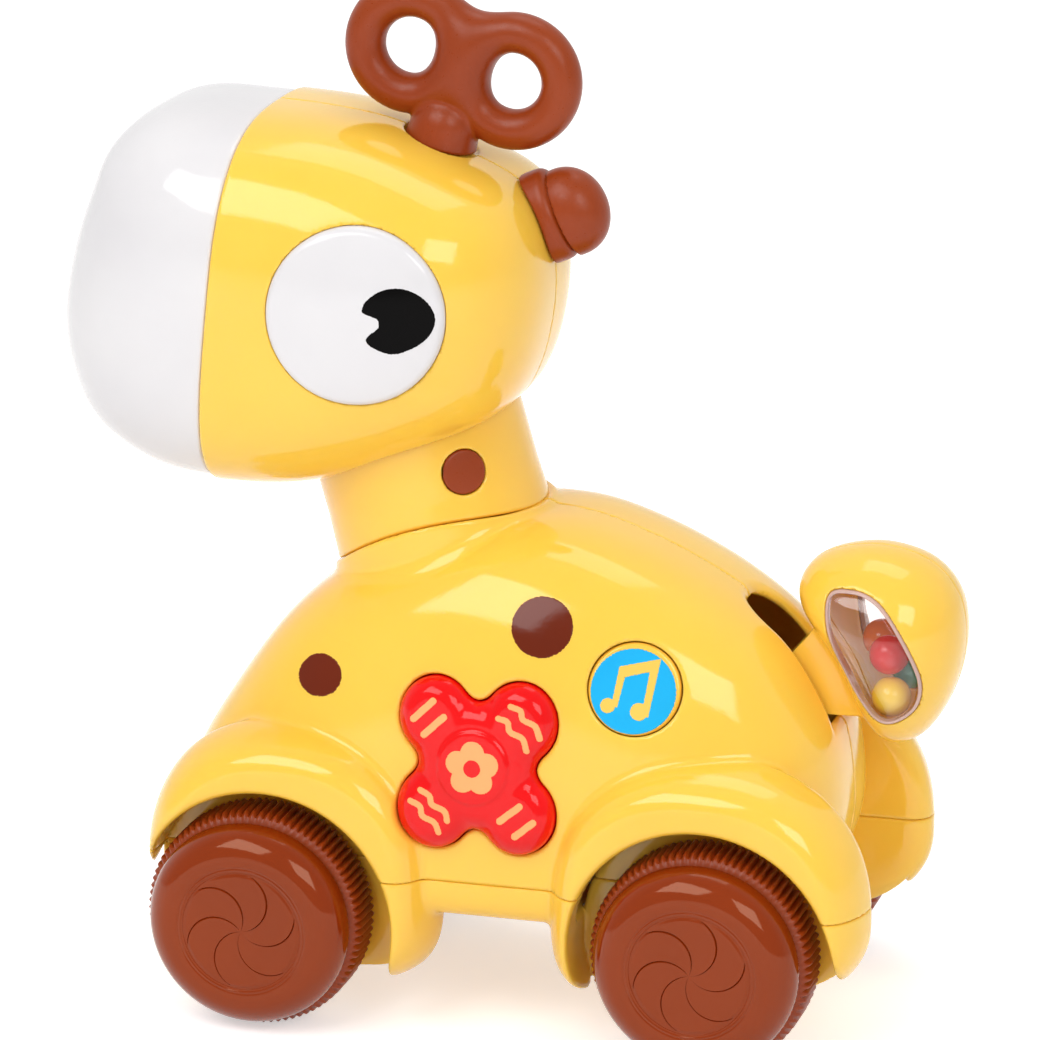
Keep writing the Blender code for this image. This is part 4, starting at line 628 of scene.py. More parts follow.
# Each button's fit: room round it, width and top of its flange, its back, and the depth of its hole
FLOWER_FIT = {"room": 0.2, "flange": 1.4, "flange_top": 4.8, "back": 6.0, "depth": 8.0}
MUSIC_FIT = {"room": 0.15, "flange": 1.2, "flange_top": 3.0, "back": 4.2, "depth": 6.0}
PETAL_MIDDLE = 11.6 / math.sqrt(2)
PETAL_RADIUS = 7.2
WAIST_RADIUS = 11.4
FLOWER_NARROWING = 0.93
MUSIC_RADIUS = 8.2
MUSIC_FACE = 0.9
NECK_HOLE_RADIUS = 17.3
NECK_HOLE_BOTTOM = -21.5


def button_hole(shape, out, fit):
    """A hole in the shell, wider behind it for the button's flange."""
    flange_room = sharp_max(shape - fit["flange"] - GAP, out + fit["flange_top"] - GAP)
    return sharp_min(sharp_max(shape - fit["room"], -fit["depth"] - out),
                     sharp_max(flange_room, 0.1 - fit["depth"] - out))


def flanged(button, shape, out, fit):
    """A button with its flange and flat back."""
    flange = sharp_max(shape - fit["flange"], out + fit["flange_top"])
    return sharp_max(sharp_min(button, flange), -fit["back"] - out)


def flower_shape(across, up):
    """Four round petals on a cross, joined at the waist."""
    x = np.abs(across) / FLOWER_NARROWING
    z = np.abs(up)
    petals = np.hypot(x - PETAL_MIDDLE, z - PETAL_MIDDLE) - PETAL_RADIUS
    return soft_min(petals, np.hypot(x, z) - WAIST_RADIUS, 2.0) * 0.97


def upper_body(points, left):
    shell = cut(body_shell(points), cylinder(NECK, points, NECK_HOLE_RADIUS, NECK_HOLE_BOTTOM), 0.4)
    shell = cut(shell, tail_slot(points), 2.0)
    if left:
        across, up, out = FLOWER.local(points)
        shell = cut(shell, button_hole(flower_shape(across, up), out, FLOWER_FIT), 0.7)
        across, up, out = MUSIC.local(points)
        shell = cut(shell, button_hole(np.hypot(across, up) - MUSIC_RADIUS, out, MUSIC_FIT), 0.6)
    side = points[:, 1] if left else -points[:, 1]
    return soft_max(soft_max(shell, side + SEAM, 0.3), PARTING_Z + SEAM - points[:, 2], 0.4)


BASE_SCREWS = [(x, y) for x in (-25.0, 30.0) for y in (-19.2, 19.2)]
BOSS_RADIUS = 3.6
SCREW_HOLE_RADIUS = 1.5
SCREW_SEAT_RADIUS = 2.7
SCREW_SEAT_DEPTH = 2.0
AXLE_HOLE_RADIUS = 1.8
ROUND = 0.6
BEAM_HALF = (4.4, 22.2)
BEAM_BOTTOM = 15.6
BELLY = ((23.9, -11.5, 9.5), (54.2, -3.5, FLOOR_Z + 1.0))
GEAR_ROOM = ((25.3, -10.1, 10.9), (52.8, -4.9, 60.0))
BATTERY_BAY = ((-29.0, -14.0, FLOOR_Z), (-7.0, 14.0, FLOOR_Z + 14.0))
CELL_ROOM = ((-24.1, -8.7, FLOOR_Z), (-11.9, 8.7, 60.0))
DOOR_OPENING = ((-27.0 - GAP, -12.0 - GAP, 0.0), (-9.0 + GAP, 12.0 + GAP, 24.0))
SPEAKER_X = -40.0
SOUND_HOLE_RADIUS = 0.8
SOUND_HOLE_PITCH = 2.6
SOUND_HOLE_DEPTH = 3.0
SOUND_HOLES = [(SPEAKER_X + SOUND_HOLE_PITCH * i, SOUND_HOLE_PITCH * j)
               for i in range(-2, 3) for j in range(-2, 3) if i ** 2 + j ** 2 < 5]


def base_body(points):
    shell = body_shell(points)
    x, y, z = points.T
    beams = [((axle_x - BEAM_HALF[0], -BEAM_HALF[1], BEAM_BOTTOM),
              (axle_x + BEAM_HALF[0], BEAM_HALF[1], FLOOR_Z + WALL - ROUND)) for axle_x in AXLES]
    for corners in (*beams, BELLY):
        shell = soft_min(shell, slab(points, *corners) - ROUND, 0.8)
    shell = sharp_min(shell, slab(points, *BATTERY_BAY))
    for spot in BASE_SCREWS:
        boss = sharp_max(np.hypot(x - spot[0], y - spot[1]) - BOSS_RADIUS, FLOOR_Z - z)
        shell = sharp_min(shell, boss)
    openings = sharp_min(*(slab(points, *corners) for corners in (GEAR_ROOM, CELL_ROOM, DOOR_OPENING)))
    shell = cut(shell, openings, 0.4)
    for axle_x in AXLES:
        shell = cut(shell, y_disc(points, axle_x, WHEEL_RADIUS, AXLE_HOLE_RADIUS))
    for spot in BASE_SCREWS:
        radius = np.hypot(x - spot[0], y - spot[1])
        seat = sharp_max(radius - SCREW_SEAT_RADIUS, z - FLOOR_Z - SCREW_SEAT_DEPTH)
        shell = cut(shell, sharp_min(radius - SCREW_HOLE_RADIUS, seat), 0.3)
    for spot in SOUND_HOLES:
        hole = np.hypot(x - spot[0], y - spot[1]) - SOUND_HOLE_RADIUS
        shell = cut(shell, sharp_max(hole, z - FLOOR_Z - SOUND_HOLE_DEPTH))
    return soft_max(shell, z - PARTING_Z + SEAM, 0.4)


# Head, key and neck

SEAM_TILT = math.radians(5.6)
SEAM_PLACE = (-46.6, 127.6)
EYE_RADIUS = 15.7
EYE_RELIEF = 0.9
EYE_ROOM = 0.03
HEAD_BORE_TOP = 29.0
MUZZLE_INSET = 0.53
MUZZLE_WALL = 2.5
# The muzzle's spigot: how deep it lies under the head's skin, and how far it runs along the seam's axis
MUZZLE_SPIGOT_DEPTH = (2.3, 4.3)
MUZZLE_SPIGOT_RUN = (-4.0, 2.5)
KEY_SEAT = 0.1
KEY_SEAT_RADIUS = 6.9
KEY_SHAFT_RADIUS = 3.0
KEY_SHAFT_BOTTOM = -7.0
KEY_RING_MIDDLE = 9.65
KEY_RING_RADIUS = 8.65
KEY_RING_THICKNESS = 3.61
KEY_RING_RISE = 15.4
KEY_STEM_RADIUS = 6.6
KEY_STEM_RISE = 4.2
KEY_STEM_TAPER = 0.12
TUFT_RISE = math.radians(23.5)
TUFT = Place((3.3, 0, 142.0), (-math.sin(TUFT_RISE), 0, math.cos(TUFT_RISE)), (0, 1, 0),
             (math.cos(TUFT_RISE), 0, math.sin(TUFT_RISE)))
TUFT_HALF_HEIGHT = 8.0
TUFT_HALF_WIDTH = 5.8
TUFT_SHANK = 0.62
TUFT_SHANK_BOTTOM = -5.0
# Each roll's middle, half depth, size, shift and squareness
TUFT_ROLLS = [(0.6, 0.8, 1.0, 0.0, 4.0), (3.3, 3.5, 1.06, 0.0, 4.0), (7.2, 7.2, 1.0, -0.6, 2.1)]
TUFT_GROOVE = 6.5
COLLAR_ENDS = [-18.0, 8.0]
COLLAR_RADII = [20.6, 19.4]
COLLAR_TOP = 27.0
SPIGOT_RADIUS = 17.0
SPIGOT_BOTTOM = -19.5
RACK_SLOT = (-4.3, 6.5)
RACK_SLOT_HALF_WIDTH = 3.9
BORE_RADIUS = 15.5
PLUNGER_HOLE_RADIUS = 5.3
PLUG_RADIUS = 4.0
PLUG_ROOM = 0.1
PLUG_SEAT = 17.0
PLUG_FACE = 19.4
PLUG_CROWN = 0.012


def before_seam(points):
    """Distance in front of the muzzle's seam."""
    x = points[:, 0] - SEAM_PLACE[0]
    return -x * math.cos(SEAM_TILT) + (points[:, 2] - SEAM_PLACE[1]) * math.sin(SEAM_TILT)


def tuft_oval(points, shift=0.0):
    up, side, out = TUFT.local(points)
    return np.hypot((up - shift) / TUFT_HALF_HEIGHT, side / TUFT_HALF_WIDTH), out


def head_left(points):
    form = HEAD(points)
    shell = sharp_max(form, -form - WALL)
    shell = soft_max(shell, before_seam(points), 0.7)
    shell = cut(shell, cylinder(NECK, points, NECK_RADIUS + GAP, top=HEAD_BORE_TOP), 0.8)
    shell = cut(shell, cylinder(KEY, points, KEY_SEAT_RADIUS, KEY_SEAT), 0.5)
    shell = cut(shell, cylinder(KEY, points, KEY_SHAFT_RADIUS + GAP, KEY_SHAFT_BOTTOM))
    shell = cut(shell, cylinder(EYE, points, EYE_RADIUS + EYE_ROOM, 0), 0.3)
    oval, out = tuft_oval(points)
    shank_hole = sharp_max((oval - TUFT_SHANK) * TUFT_HALF_WIDTH - GAP, TUFT_SHANK_BOTTOM - GAP - out)
    shell = cut(shell, shank_hole)
    return soft_max(shell, points[:, 1] + SEAM, 0.3)


def muzzle(points):
    form = HEAD(points)
    ahead = before_seam(points)
    front = sharp_max(form + MUZZLE_INSET, -form - MUZZLE_WALL)
    front = soft_max(front, 0.06 - ahead, 0.7)
    spigot = sharp_max(form + MUZZLE_SPIGOT_DEPTH[0], -form - MUZZLE_SPIGOT_DEPTH[1],
                       MUZZLE_SPIGOT_RUN[0] - ahead, ahead - MUZZLE_SPIGOT_RUN[1])
    return sharp_min(front, spigot)


def eye_left(points):
    form = HEAD(points)
    disc = soft_max(form - EYE_RELIEF, cylinder(EYE, points, EYE_RADIUS, 0), 1.3)
    return sharp_max(disc, -form - WALL)


def neck(points):
    across, side, out = NECK.local(points)
    radius = np.hypot(across, side)
    collar = radius - np.interp(out, COLLAR_ENDS, COLLAR_RADII)
    collar = soft_max(collar, GAP / 2 - above_rim(points), 0.5)
    collar = soft_max(collar, out - COLLAR_TOP, 0.8)
    spigot = sharp_max(radius - SPIGOT_RADIUS, SPIGOT_BOTTOM - out, out - COLLAR_ENDS[1])
    solid = sharp_min(collar, spigot)
    bore = sharp_max(radius - BORE_RADIUS, SPIGOT_BOTTOM + WALL - out)
    rack = sharp_max(RACK_SLOT[0] - across, across - RACK_SLOT[1], np.abs(side) - RACK_SLOT_HALF_WIDTH)
    solid = cut(solid, sharp_min(bore, radius - PLUNGER_HOLE_RADIUS, rack))
    for turn in (1, -1):
        mirrored = points * np.array([1, turn, 1])
        solid = cut(solid, cylinder(PLUG, mirrored, PLUG_RADIUS + PLUG_ROOM, PLUG_SEAT), 0.4)
    return solid


def plug(points):
    across, up, out = PLUG.local(points)
    radius = np.hypot(across, up)
    face = PLUG_FACE - PLUG_CROWN * radius ** 2 - out
    return sharp_max(soft_max(radius - PLUG_RADIUS, -face, 0.5), PLUG_SEAT + GAP - out)


def key(points):
    across, side, out = KEY.local(points)
    rings = []
    for shift in (-KEY_RING_MIDDLE, KEY_RING_MIDDLE):
        reach = np.hypot(across - shift, out - KEY_RING_RISE) - KEY_RING_RADIUS
        rings.append(np.hypot(reach, side) - KEY_RING_THICKNESS)
    figure = soft_min(rings[0], rings[1], 6.5)
    radius = np.hypot(across, side)
    stem = np.hypot(radius, np.maximum(out - KEY_STEM_RISE, 0)) - KEY_STEM_RADIUS
    stem = soft_max(stem + KEY_STEM_TAPER * np.maximum(out, 0), 0.4 - out, 0.6)
    shaft = sharp_max(radius - KEY_SHAFT_RADIUS, KEY_SHAFT_BOTTOM - out, out - 4.0)
    return sharp_min(soft_min(figure, stem, 1.0), shaft)


def tuft(points):
    """A thin flange, a band and a rounded end, parted by a groove."""
    rolls = []
    for middle, half, size, shift, power in TUFT_ROLLS:
        oval, out = tuft_oval(points, shift)
        across = np.abs(out - middle) / half
        share = (across ** power + (oval / size) ** power + 1e-9) ** (1 / power)
        rolls.append((share - 1) * min(half, TUFT_HALF_WIDTH * size))
    solid = soft_min(sharp_min(rolls[0], rolls[1]), sharp_max(rolls[2], TUFT_GROOVE - out), 0.3)
    oval, out = tuft_oval(points)
    shank = sharp_max((oval - TUFT_SHANK) * TUFT_HALF_WIDTH, TUFT_SHANK_BOTTOM - out, out - 7.0)
    return sharp_min(soft_max(solid, GAP - HEAD(points), 0.4), shank)


# Tail and buttons

ARM_FROM = math.radians(2)
ARM_TO = math.radians(50)
ARM_INNER = 1.5
ARM_OUTER = 22.5
ARM_HALF_WIDTH = 5.4
HUB_RADIUS = 3.8
HUB_HALF_WIDTH = 5.7
PIN_HOLE_RADIUS = 1.8
TAIL_WALL = 1.8
WINDOW_ROOM = 0.06
WINDOW_INNER_Y = 2.0
PANE_INSET = 0.15
PANE_BACK = 1.5
PANE_RIM_WIDTH = 0.6
PANE_RIM_RELIEF = 0.1
PANE_RIM_DEPTH = 1.7
FLOWER_DOME = 1.25
FLOWER_EDGE_DROP = 2.4
FLOWER_EDGE_WIDTH = 3.6
FLOWER_DISC_RADIUS = 6.6
FLOWER_DISC_RISE = 0.45
FLOWER_DISC_NARROWING = 0.97
FLOWER_DISC_STEP = 0.16


def tail_left(points):
    form = TAIL(points) + 0.05
    side = np.abs(points[:, 1])
    stem = sharp_max(tail_sector(points, ARM_FROM, ARM_TO, ARM_INNER, ARM_OUTER), side - ARM_HALF_WIDTH)
    stem = sharp_min(stem, sharp_max(y_disc(points, *TAIL_PIN, HUB_RADIUS), side - HUB_HALF_WIDTH))
    solid = soft_min(form, stem, 1.2)
    solid = sharp_max(solid, -form - TAIL_WALL, -y_disc(points, *TAIL_PIN, PIN_HOLE_RADIUS))
    solid = cut(solid, WINDOW(points) - WINDOW_ROOM, 0.4)
    return soft_max(solid, points[:, 1] + SEAM, 0.3)


def tail_pane(points):
    form = TAIL(points)
    edge = WINDOW(points) + PANE_RIM_WIDTH + 0.02
    pane = soft_max(form + PANE_INSET, edge, 0.6)
    return sharp_max(pane, -form - PANE_BACK, points[:, 1] + WINDOW_INNER_Y)


def tail_rim(points):
    form = TAIL(points)
    edge = WINDOW(points)
    band = soft_max(edge - 0.05, -PANE_RIM_WIDTH - edge, 0.3)
    rim = soft_max(form - PANE_RIM_RELIEF, band, 0.6)
    return sharp_max(rim, -form - PANE_RIM_DEPTH, points[:, 1] + WINDOW_INNER_Y)


def flower_face(across, up):
    """Height of the button's face: domed petals round a raised disc."""
    edge = np.maximum(-flower_shape(across, up), 0)
    dome = FLOWER_DOME - FLOWER_EDGE_DROP * np.maximum(1 - edge / FLOWER_EDGE_WIDTH, 0) ** 2.2
    reach = np.hypot(across / FLOWER_DISC_NARROWING, up)
    step = 1 / (1 + np.exp((reach - FLOWER_DISC_RADIUS) / FLOWER_DISC_STEP))
    return dome + FLOWER_DISC_RISE * step * np.clip(edge / 2, 0, 1)


def flower(points):
    across, up, out = FLOWER.local(points)
    shape = flower_shape(across, up)
    button = soft_max(shape, (out - flower_face(across, up)) * 0.85, 0.6)
    return flanged(button, shape, out, FLOWER_FIT)


def music(points):
    across, up, out = MUSIC.local(points)
    shape = np.hypot(across, up) - MUSIC_RADIUS
    return flanged(soft_max(shape, out - MUSIC_FACE, 0.9), shape, out, MUSIC_FIT)


# Meshing of fields

POINTS_AT_ONCE = 60000


def nets(field, bottom, top, step):
    """A closed skin of quads on the field's zero, one vertex in each cell that it crosses."""
    bottom = np.array(bottom, float)
    counts = [int(math.ceil((end - start) / step)) + 1 for start, end in zip(bottom, top)]
    axes = [bottom[a] + step * np.arange(counts[a]) for a in range(3)]
    values = np.empty(counts, np.float32)
    layer = np.stack(np.meshgrid(axes[1], axes[2], indexing="ij"), -1).reshape(-1, 2)
    batch = max(1, POINTS_AT_ONCE // len(layer))
    for start in range(0, counts[0], batch):
        chosen = axes[0][start:start + batch]
        points = np.column_stack([np.repeat(chosen, len(layer)), np.tile(layer, (len(chosen), 1))])
        values[start:start + batch] = field(points).reshape(len(chosen), counts[1], counts[2])
    inside = values < 0
    cells = [n - 1 for n in counts]
    corners = [(a, b, c) for a in (0, 1) for b in (0, 1) for c in (0, 1)]
    filled = sum(inside[a:a + cells[0], b:b + cells[1], c:c + cells[2]].astype(np.uint8)
                 for a, b, c in corners)
    active = (filled > 0) & (filled < 8)
    index = np.full(cells, -1, np.int64)
    ids = np.argwhere(active)
    index[active] = np.arange(len(ids))
    total = np.zeros((len(ids), 3))
    hits = np.zeros(len(ids))
    for corner in corners:
        for axis in range(3):
            if corner[axis]:
                continue
            other = list(corner)
            other[axis] = 1
            here = values[tuple((ids + corner).T)].astype(float)
            there = values[tuple((ids + other).T)].astype(float)
            crossed = (here < 0) != (there < 0)
            share = np.where(crossed, here / np.where(crossed, here - there, 1.0), 0.0)
            spot = np.tile(np.array(corner, float), (len(ids), 1))
            spot[:, axis] += share
            total += spot * crossed[:, None]
            hits += crossed
    verts = bottom + step * (ids + total / hits[:, None])
    quads = []
    for axis in range(3):
        b, c = (axis + 1) % 3, (axis + 2) % 3
        edges = np.argwhere(np.diff(inside, axis=axis))
        edges = edges[((edges > 0) & (edges < cells))[:, [b, c]].all(axis=1)]
        outward = inside[tuple(edges.T)]
        rows = []
        for back in ((0, 0), (1, 0), (1, 1), (0, 1)):
            cell = edges.copy()
            cell[:, [b, c]] -= back
            rows.append(index[tuple(cell.T)])
        quad = np.stack(rows, 1)
        quad[~outward] = quad[~outward][:, ::-1]
        quads.append(quad)
    return verts, np.concatenate(quads)


def gradient(field, points, reach):
    slopes = np.empty_like(points)
    for axis in range(3):
        off = np.zeros(3)
        off[axis] = reach
        slopes[:, axis] = field(points + off) - field(points - off)
    return slopes / (2 * reach)


def drawn_on(field, points, step):
    """Moves points onto the field's zero."""
    for _ in range(4):
        slope = gradient(field, points, 0.2 * step)
        move = field(points)[:, None] * slope / np.maximum((slope ** 2).sum(1), 0.3)[:, None]
        reach = np.linalg.norm(move, axis=1)
        points = points - move * np.minimum(1.0, 0.5 * step / np.maximum(reach, 1e-9))[:, None]
    return points


def add_mesh(name, verts, faces, material, body, node=None, normals=None):
    """A piece that stands for a node, or that is only put on the part."""
    placed = (verts + np.array([SHIFT, 0, 0])) * MM
    mesh = bpy.data.meshes.new(name)
    mesh.from_pydata(placed.tolist(), [], faces)
    mesh.materials.append(material)
    mesh.shade_smooth()
    if normals is None:
        mesh.set_sharp_from_angle(angle=math.radians(40))
    else:
        mesh.normals_split_custom_set_from_vertices(normals.tolist())
    made = add_object(name, mesh)
    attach(made, body)
    if node:
        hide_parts(node)
    return made


def add_mirrored(name, verts, faces, material, body, node=None, normals=None):
    """The same piece on the other side, whose names say right instead of left."""
    flip = np.array([1.0, -1.0, 1.0])
    name, node = (word and word.replace("left", "right") for word in (name, node))
    turned = None if normals is None else normals * flip
    return add_mesh(name, verts * flip, [face[::-1] for face in faces], material, body, node, turned)


def add_skin(name, field, bottom, top, step, material, body, node=None, mirrored=False):
    """A piece from a field, meshed in steps within a box."""
    step = step * COARSE
    verts, quads = nets(field, bottom, top, step)
    verts = drawn_on(field, verts, step)
    normals = gradient(field, verts, 0.3 * step)
    normals /= np.maximum(np.linalg.norm(normals, axis=1), 1e-9)[:, None]
    piece = (name, verts, quads.tolist(), material, body, node, normals)
    return [add_mesh(*piece)] + ([add_mirrored(*piece)] if mirrored else [])


def add_body():
    add_skin("body_left_shell", lambda p: upper_body(p, True), (-63, -39, 28.4), (74, 0.7, 97), 0.56,
             YELLOW, "body", "body_left")
    add_skin("body_right_shell", lambda p: upper_body(p, False), (-63, -0.7, 28.4), (74, 39, 97), 0.56,
             YELLOW, "body", "body_right")
    add_skin("lower_shell", base_body, (-63, -39, 6), (74, 39, 40), 0.56,
             YELLOW, "body", "base_shell")
    add_skin("neck_collar", neck, (-44, -22, 62), (12, 22, 119), 0.45,
             YELLOW, "body", "neck")
    add_skin("neck_plug_left_disc", plug, (-8, -21, 90), (6, -9, 106), 0.25,
             BROWN, "body", "neck_plug_left", mirrored=True)


def add_head():
    add_skin("head_left_shell", head_left, (-54, -34.5, 90), (10, 0.7, 166), 0.45,
             YELLOW, "head", "head_left", mirrored=True)
    add_skin("muzzle_shell", muzzle, (-82, -34.5, 90), (-38, 34.5, 168), 0.5,
             WHITE, "head", "muzzle")
    add_skin("eye_left_disc", eye_left, (-43, -36, 113), (-2, -20, 149), 0.35,
             WHITE, "head", "eye_left", mirrored=True)
    add_skin("key_grip", key, (-40, -8, 145), (22, 8, 188), 0.4,
             BROWN, "key", "winding_key")
    add_skin("tuft_rolls", tuft, (-6, -8, 131), (24, 8, 158), 0.3,
             BROWN, "head", "mane_tuft")


def add_tail():
    add_skin("tail_left_shell", tail_left, (37, -16.5, 49), (85, 0.7, 91), 0.4,
             YELLOW, "tail", "tail_left", mirrored=True)
    add_skin("tail_left_pane", tail_pane, (55, -16.5, 55), (80, 0, 85), 0.35,
             CLEAR, "tail", "tail_window_left", mirrored=True)
    for rim in add_skin("tail_left_rim", tail_rim, (55, -16.5, 55), (80, 0, 85), 0.25,
                        WINDOW_RIM, "tail", mirrored=True):
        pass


def add_buttons():
    add_skin("flower_face", flower, (-16, -38, 33), (21, -26, 71), 0.3,
             RED, "flower", "flower_button")
    add_skin("music_face", music, (17, -35, 53), (42, -15, 79), 0.35,
             YELLOW, "music", "music_button")


# Prints

LINE_STEPS = 5
PRINT_LIFT = 0.05
PRINT_DEPTH = 0.35
PRINT_REACH = 0.5
PUPIL_MIDDLE = (7.7, -0.15)
PUPIL_OUTLINE = [(6.4, 0.2), (5.5, 2.8), (3.2, 4.9), (0, 5.9), (-3.2, 5.3), (-5.6, 3.5), (-6.3, 1.7),
                 (-4.9, 0.9), (-3.6, 0.3), (-3.5, -1.1), (-4.8, -2.2), (-5.6, -3.3), (-4.6, -4.6),
                 (-1.1, -5.8), (2.6, -4.7), (5.3, -2.6)]
# Each spot's place on the side, radius and stretch
SPOTS = {"front": (-28.0, 63.9, 3.8, 1.25), "rear": (13.0, 76.4, 5.5, 1.0)}
FLOWER_BARS = [((-11.0, 8.0), (-7.5, 11.4)), ((-9.0, 5.3), (-5.5, 8.7)),
               ((5.2, -9.0), (8.7, -6.1)), ((8.0, -11.5), (11.2, -8.8))]
FLOWER_WAVES = [((6.6, 11.6), (8.4, 11.0), (8.9, 9.5), (11.1, 8.5), (11.9, 6.3)),
                ((4.4, 9.3), (6.1, 8.8), (6.6, 7.1), (8.9, 6.1), (9.6, 3.9)),
                ((-9.4, -4.7), (-7.7, -5.6), (-7.2, -7.1), (-4.9, -8.1), (-4.4, -9.8)),
                ((-11.2, -6.8), (-9.4, -7.6), (-8.9, -9.3), (-6.7, -10.3), (-5.9, -12.0))]
BAR_HALF = 0.68
WAVE_HALF = 0.58
BLOOM_PETALS = 5
BLOOM_REACH = 2.75
BLOOM_PETAL = 2.2
BLOOM_HOLE = 1.5
DISC_PRINT_RADIUS = 7.5
DISC_PRINT_MIDDLE = (-0.25, -0.45)
NOTE_BARS = [[(-3.1, 3.7), (-2.5, 1.7), (3.5, 3.5), (4.1, 5.7)],
             [(-3.1, 3.7), (-3.9, -3.0), (-2.8, -3.6), (-1.8, 2.6)],
             [(2.3, 3.6), (1.5, -3.9), (2.7, -5.0), (4.1, 5.7)]]
NOTE_HEADS = [(-4.5, -3.3, 1.35), (1.0, -3.9, 1.6)]
MUSIC_PRINT_BOX = ((19, -34, 55.5), (40.5, -18, 77))


def from_stretch(across, up, start, end):
    """Distance in a plane from a straight stretch."""
    run = end - start
    share = np.clip(((across - start[0]) * run[0] + (up - start[1]) * run[1]) / (run @ run), 0, 1)
    return np.hypot(across - start[0] - share * run[0], up - start[1] - share * run[1])


def from_line(points):
    """Distance in a plane from a smooth line through a few points."""
    line = open_spline(points, LINE_STEPS)
    return lambda across, up: sharp_min(*(from_stretch(across, up, *ends) for ends in zip(line, line[1:])))


def convex(corners):
    """Distance in a plane from a convex figure whose corners run counter-clockwise."""
    def distance(across, up):
        sides = []
        for (x0, z0), (x1, z1) in zip(corners, corners[1:] + corners[:1]):
            run = math.hypot(x1 - x0, z1 - z0)
            sides.append(((across - x0) * (z1 - z0) - (up - z0) * (x1 - x0)) / run)
        return sharp_max(*sides)
    return distance


def printed(surface, figure, lift=PRINT_LIFT):
    """A thin layer of ink on a surface, inside a figure."""
    def field(points):
        skin = surface(points)
        return soft_max(sharp_max(skin - lift, -PRINT_DEPTH - skin), figure(points), 0.05)
    return field


def from_outline(outline, count=160):
    """Distance in a plane from a closed outline, negative inside."""
    curve = closed_spline(outline, count)

    def distance(across, up):
        best = np.full(len(across), 1e3)
        crossings = np.zeros(len(across), int)
        for start, end in zip(curve, np.roll(curve, -1, axis=0)):
            best = np.minimum(best, from_stretch(across, up, start, end))
            if start[1] != end[1]:
                between = (up >= min(start[1], end[1])) & (up < max(start[1], end[1]))
                met = start[0] + (up - start[1]) * (end - start)[0] / (end - start)[1]
                crossings += between & (across < met)
        return np.where(crossings % 2 == 1, -best, best)
    return distance


def surface_point(surface, x, z):
    """The left side's point of a surface over a place of the mid-plane."""
    inner, outer = 0.0, -45.0
    for _ in range(40):
        middle = (inner + outer) / 2
        if surface(np.array([[x, middle, z]]))[0] < 0:
            inner = middle
        else:
            outer = middle
    return np.array([x, inner, z])


def pupil_print():
    pupil = from_outline(PUPIL_OUTLINE)

    def figure(points):
        across, up, out = EYE.local(points)
        inside = np.where(out > 0, pupil(across - PUPIL_MIDDLE[0], up - PUPIL_MIDDLE[1]), 10.0)
        return sharp_max(inside, -HEAD(points) - PRINT_REACH)
    return printed(eye_left, figure)


def spot_print(middle, radius, stretch):
    scale = np.array([stretch, stretch, 1.0])
    return printed(body_outside, lambda points: np.linalg.norm((points - middle) / scale, axis=1) - radius)


def flower_print():
    """A bloom of five petals, with bars and waves round it."""
    bars = [from_line(ends) for ends in FLOWER_BARS]
    waves = [from_line(ends) for ends in FLOWER_WAVES]
    turns = [math.pi / 2 + 2 * math.pi * step / BLOOM_PETALS for step in range(BLOOM_PETALS)]
    middles = [(BLOOM_REACH * math.cos(turn), BLOOM_REACH * math.sin(turn)) for turn in turns]

    def figure(points):
        across, up, _ = FLOWER.local(points)
        petals = [np.hypot(across - x, up - z) - BLOOM_PETAL for x, z in middles]
        bloom = soft_max(sharp_min(*petals), BLOOM_HOLE - np.hypot(across, up), 0.1)
        return sharp_min(bloom, *(bar(across, up) - BAR_HALF for bar in bars),
                         *(wave(across, up) - WAVE_HALF for wave in waves))
    return printed(flower, figure)


def disc_print():
    def figure(points):
        across, up, out = MUSIC.local(points)
        disc = np.hypot(across - DISC_PRINT_MIDDLE[0], up - DISC_PRINT_MIDDLE[1]) - DISC_PRINT_RADIUS
        return sharp_max(disc, -out - PRINT_REACH)
    return printed(music, figure)


def note_print():
    bars = [convex(corners) for corners in NOTE_BARS]

    def figure(points):
        across, up, out = MUSIC.local(points)
        heads = [np.hypot(across - x, up - z) - radius for x, z, radius in NOTE_HEADS]
        return sharp_max(sharp_min(*heads, *(bar(across, up) for bar in bars)), -out - PRINT_REACH)
    return printed(music, figure, 2 * PRINT_LIFT)


def add_prints():
    """Ink on the toy: pupils, spots, the flower's figures and the note."""
    add_skin("pupil_left_ink", pupil_print(), (-20.5, -36, 123), (-4, -24, 139), 0.2, BLACK_INK, "head",
             mirrored=True)
    for name, (x, z, radius, stretch) in SPOTS.items():
        middle = surface_point(body_outside, x, z)
        reach = stretch * radius + 1.0
        add_skin("spot_left_" + name, spot_print(middle, radius, stretch), middle - reach, middle + reach,
                 0.25, SPOT, "body", mirrored=True)
    add_skin("flower_ink", flower_print(), (-13, -37, 36), (18.5, -31, 67), 0.2, PEACH, "flower")
    add_skin("music_disc_ink", disc_print(), *MUSIC_PRINT_BOX, 0.25, BLUE, "music")
    add_skin("music_note_ink", note_print(), *MUSIC_PRINT_BOX, 0.2, NOTE, "music")


# Turned pieces

def add_rings(name, rings, material, body, node, mirrored=False):
    """A closed skin over rings of points; a ring of one point closes an end."""
    starts = np.cumsum([0] + [len(points) for points in rings]).tolist()
    faces = []
    for a, b, lower, upper in zip(starts, starts[1:], rings, rings[1:]):
        count = max(len(lower), len(upper))
        for step in range(count):
            after = (step + 1) % count
            if len(lower) == 1:
                faces.append((a, b + after, b + step))
            elif len(upper) == 1:
                faces.append((a + step, a + after, b))
            else:
                faces.append((a + step, a + after, b + after, b + step))
    piece = (name, np.concatenate(rings), faces, material, body, node)
    add_mesh(*piece)
    if mirrored:
        add_mirrored(*piece)


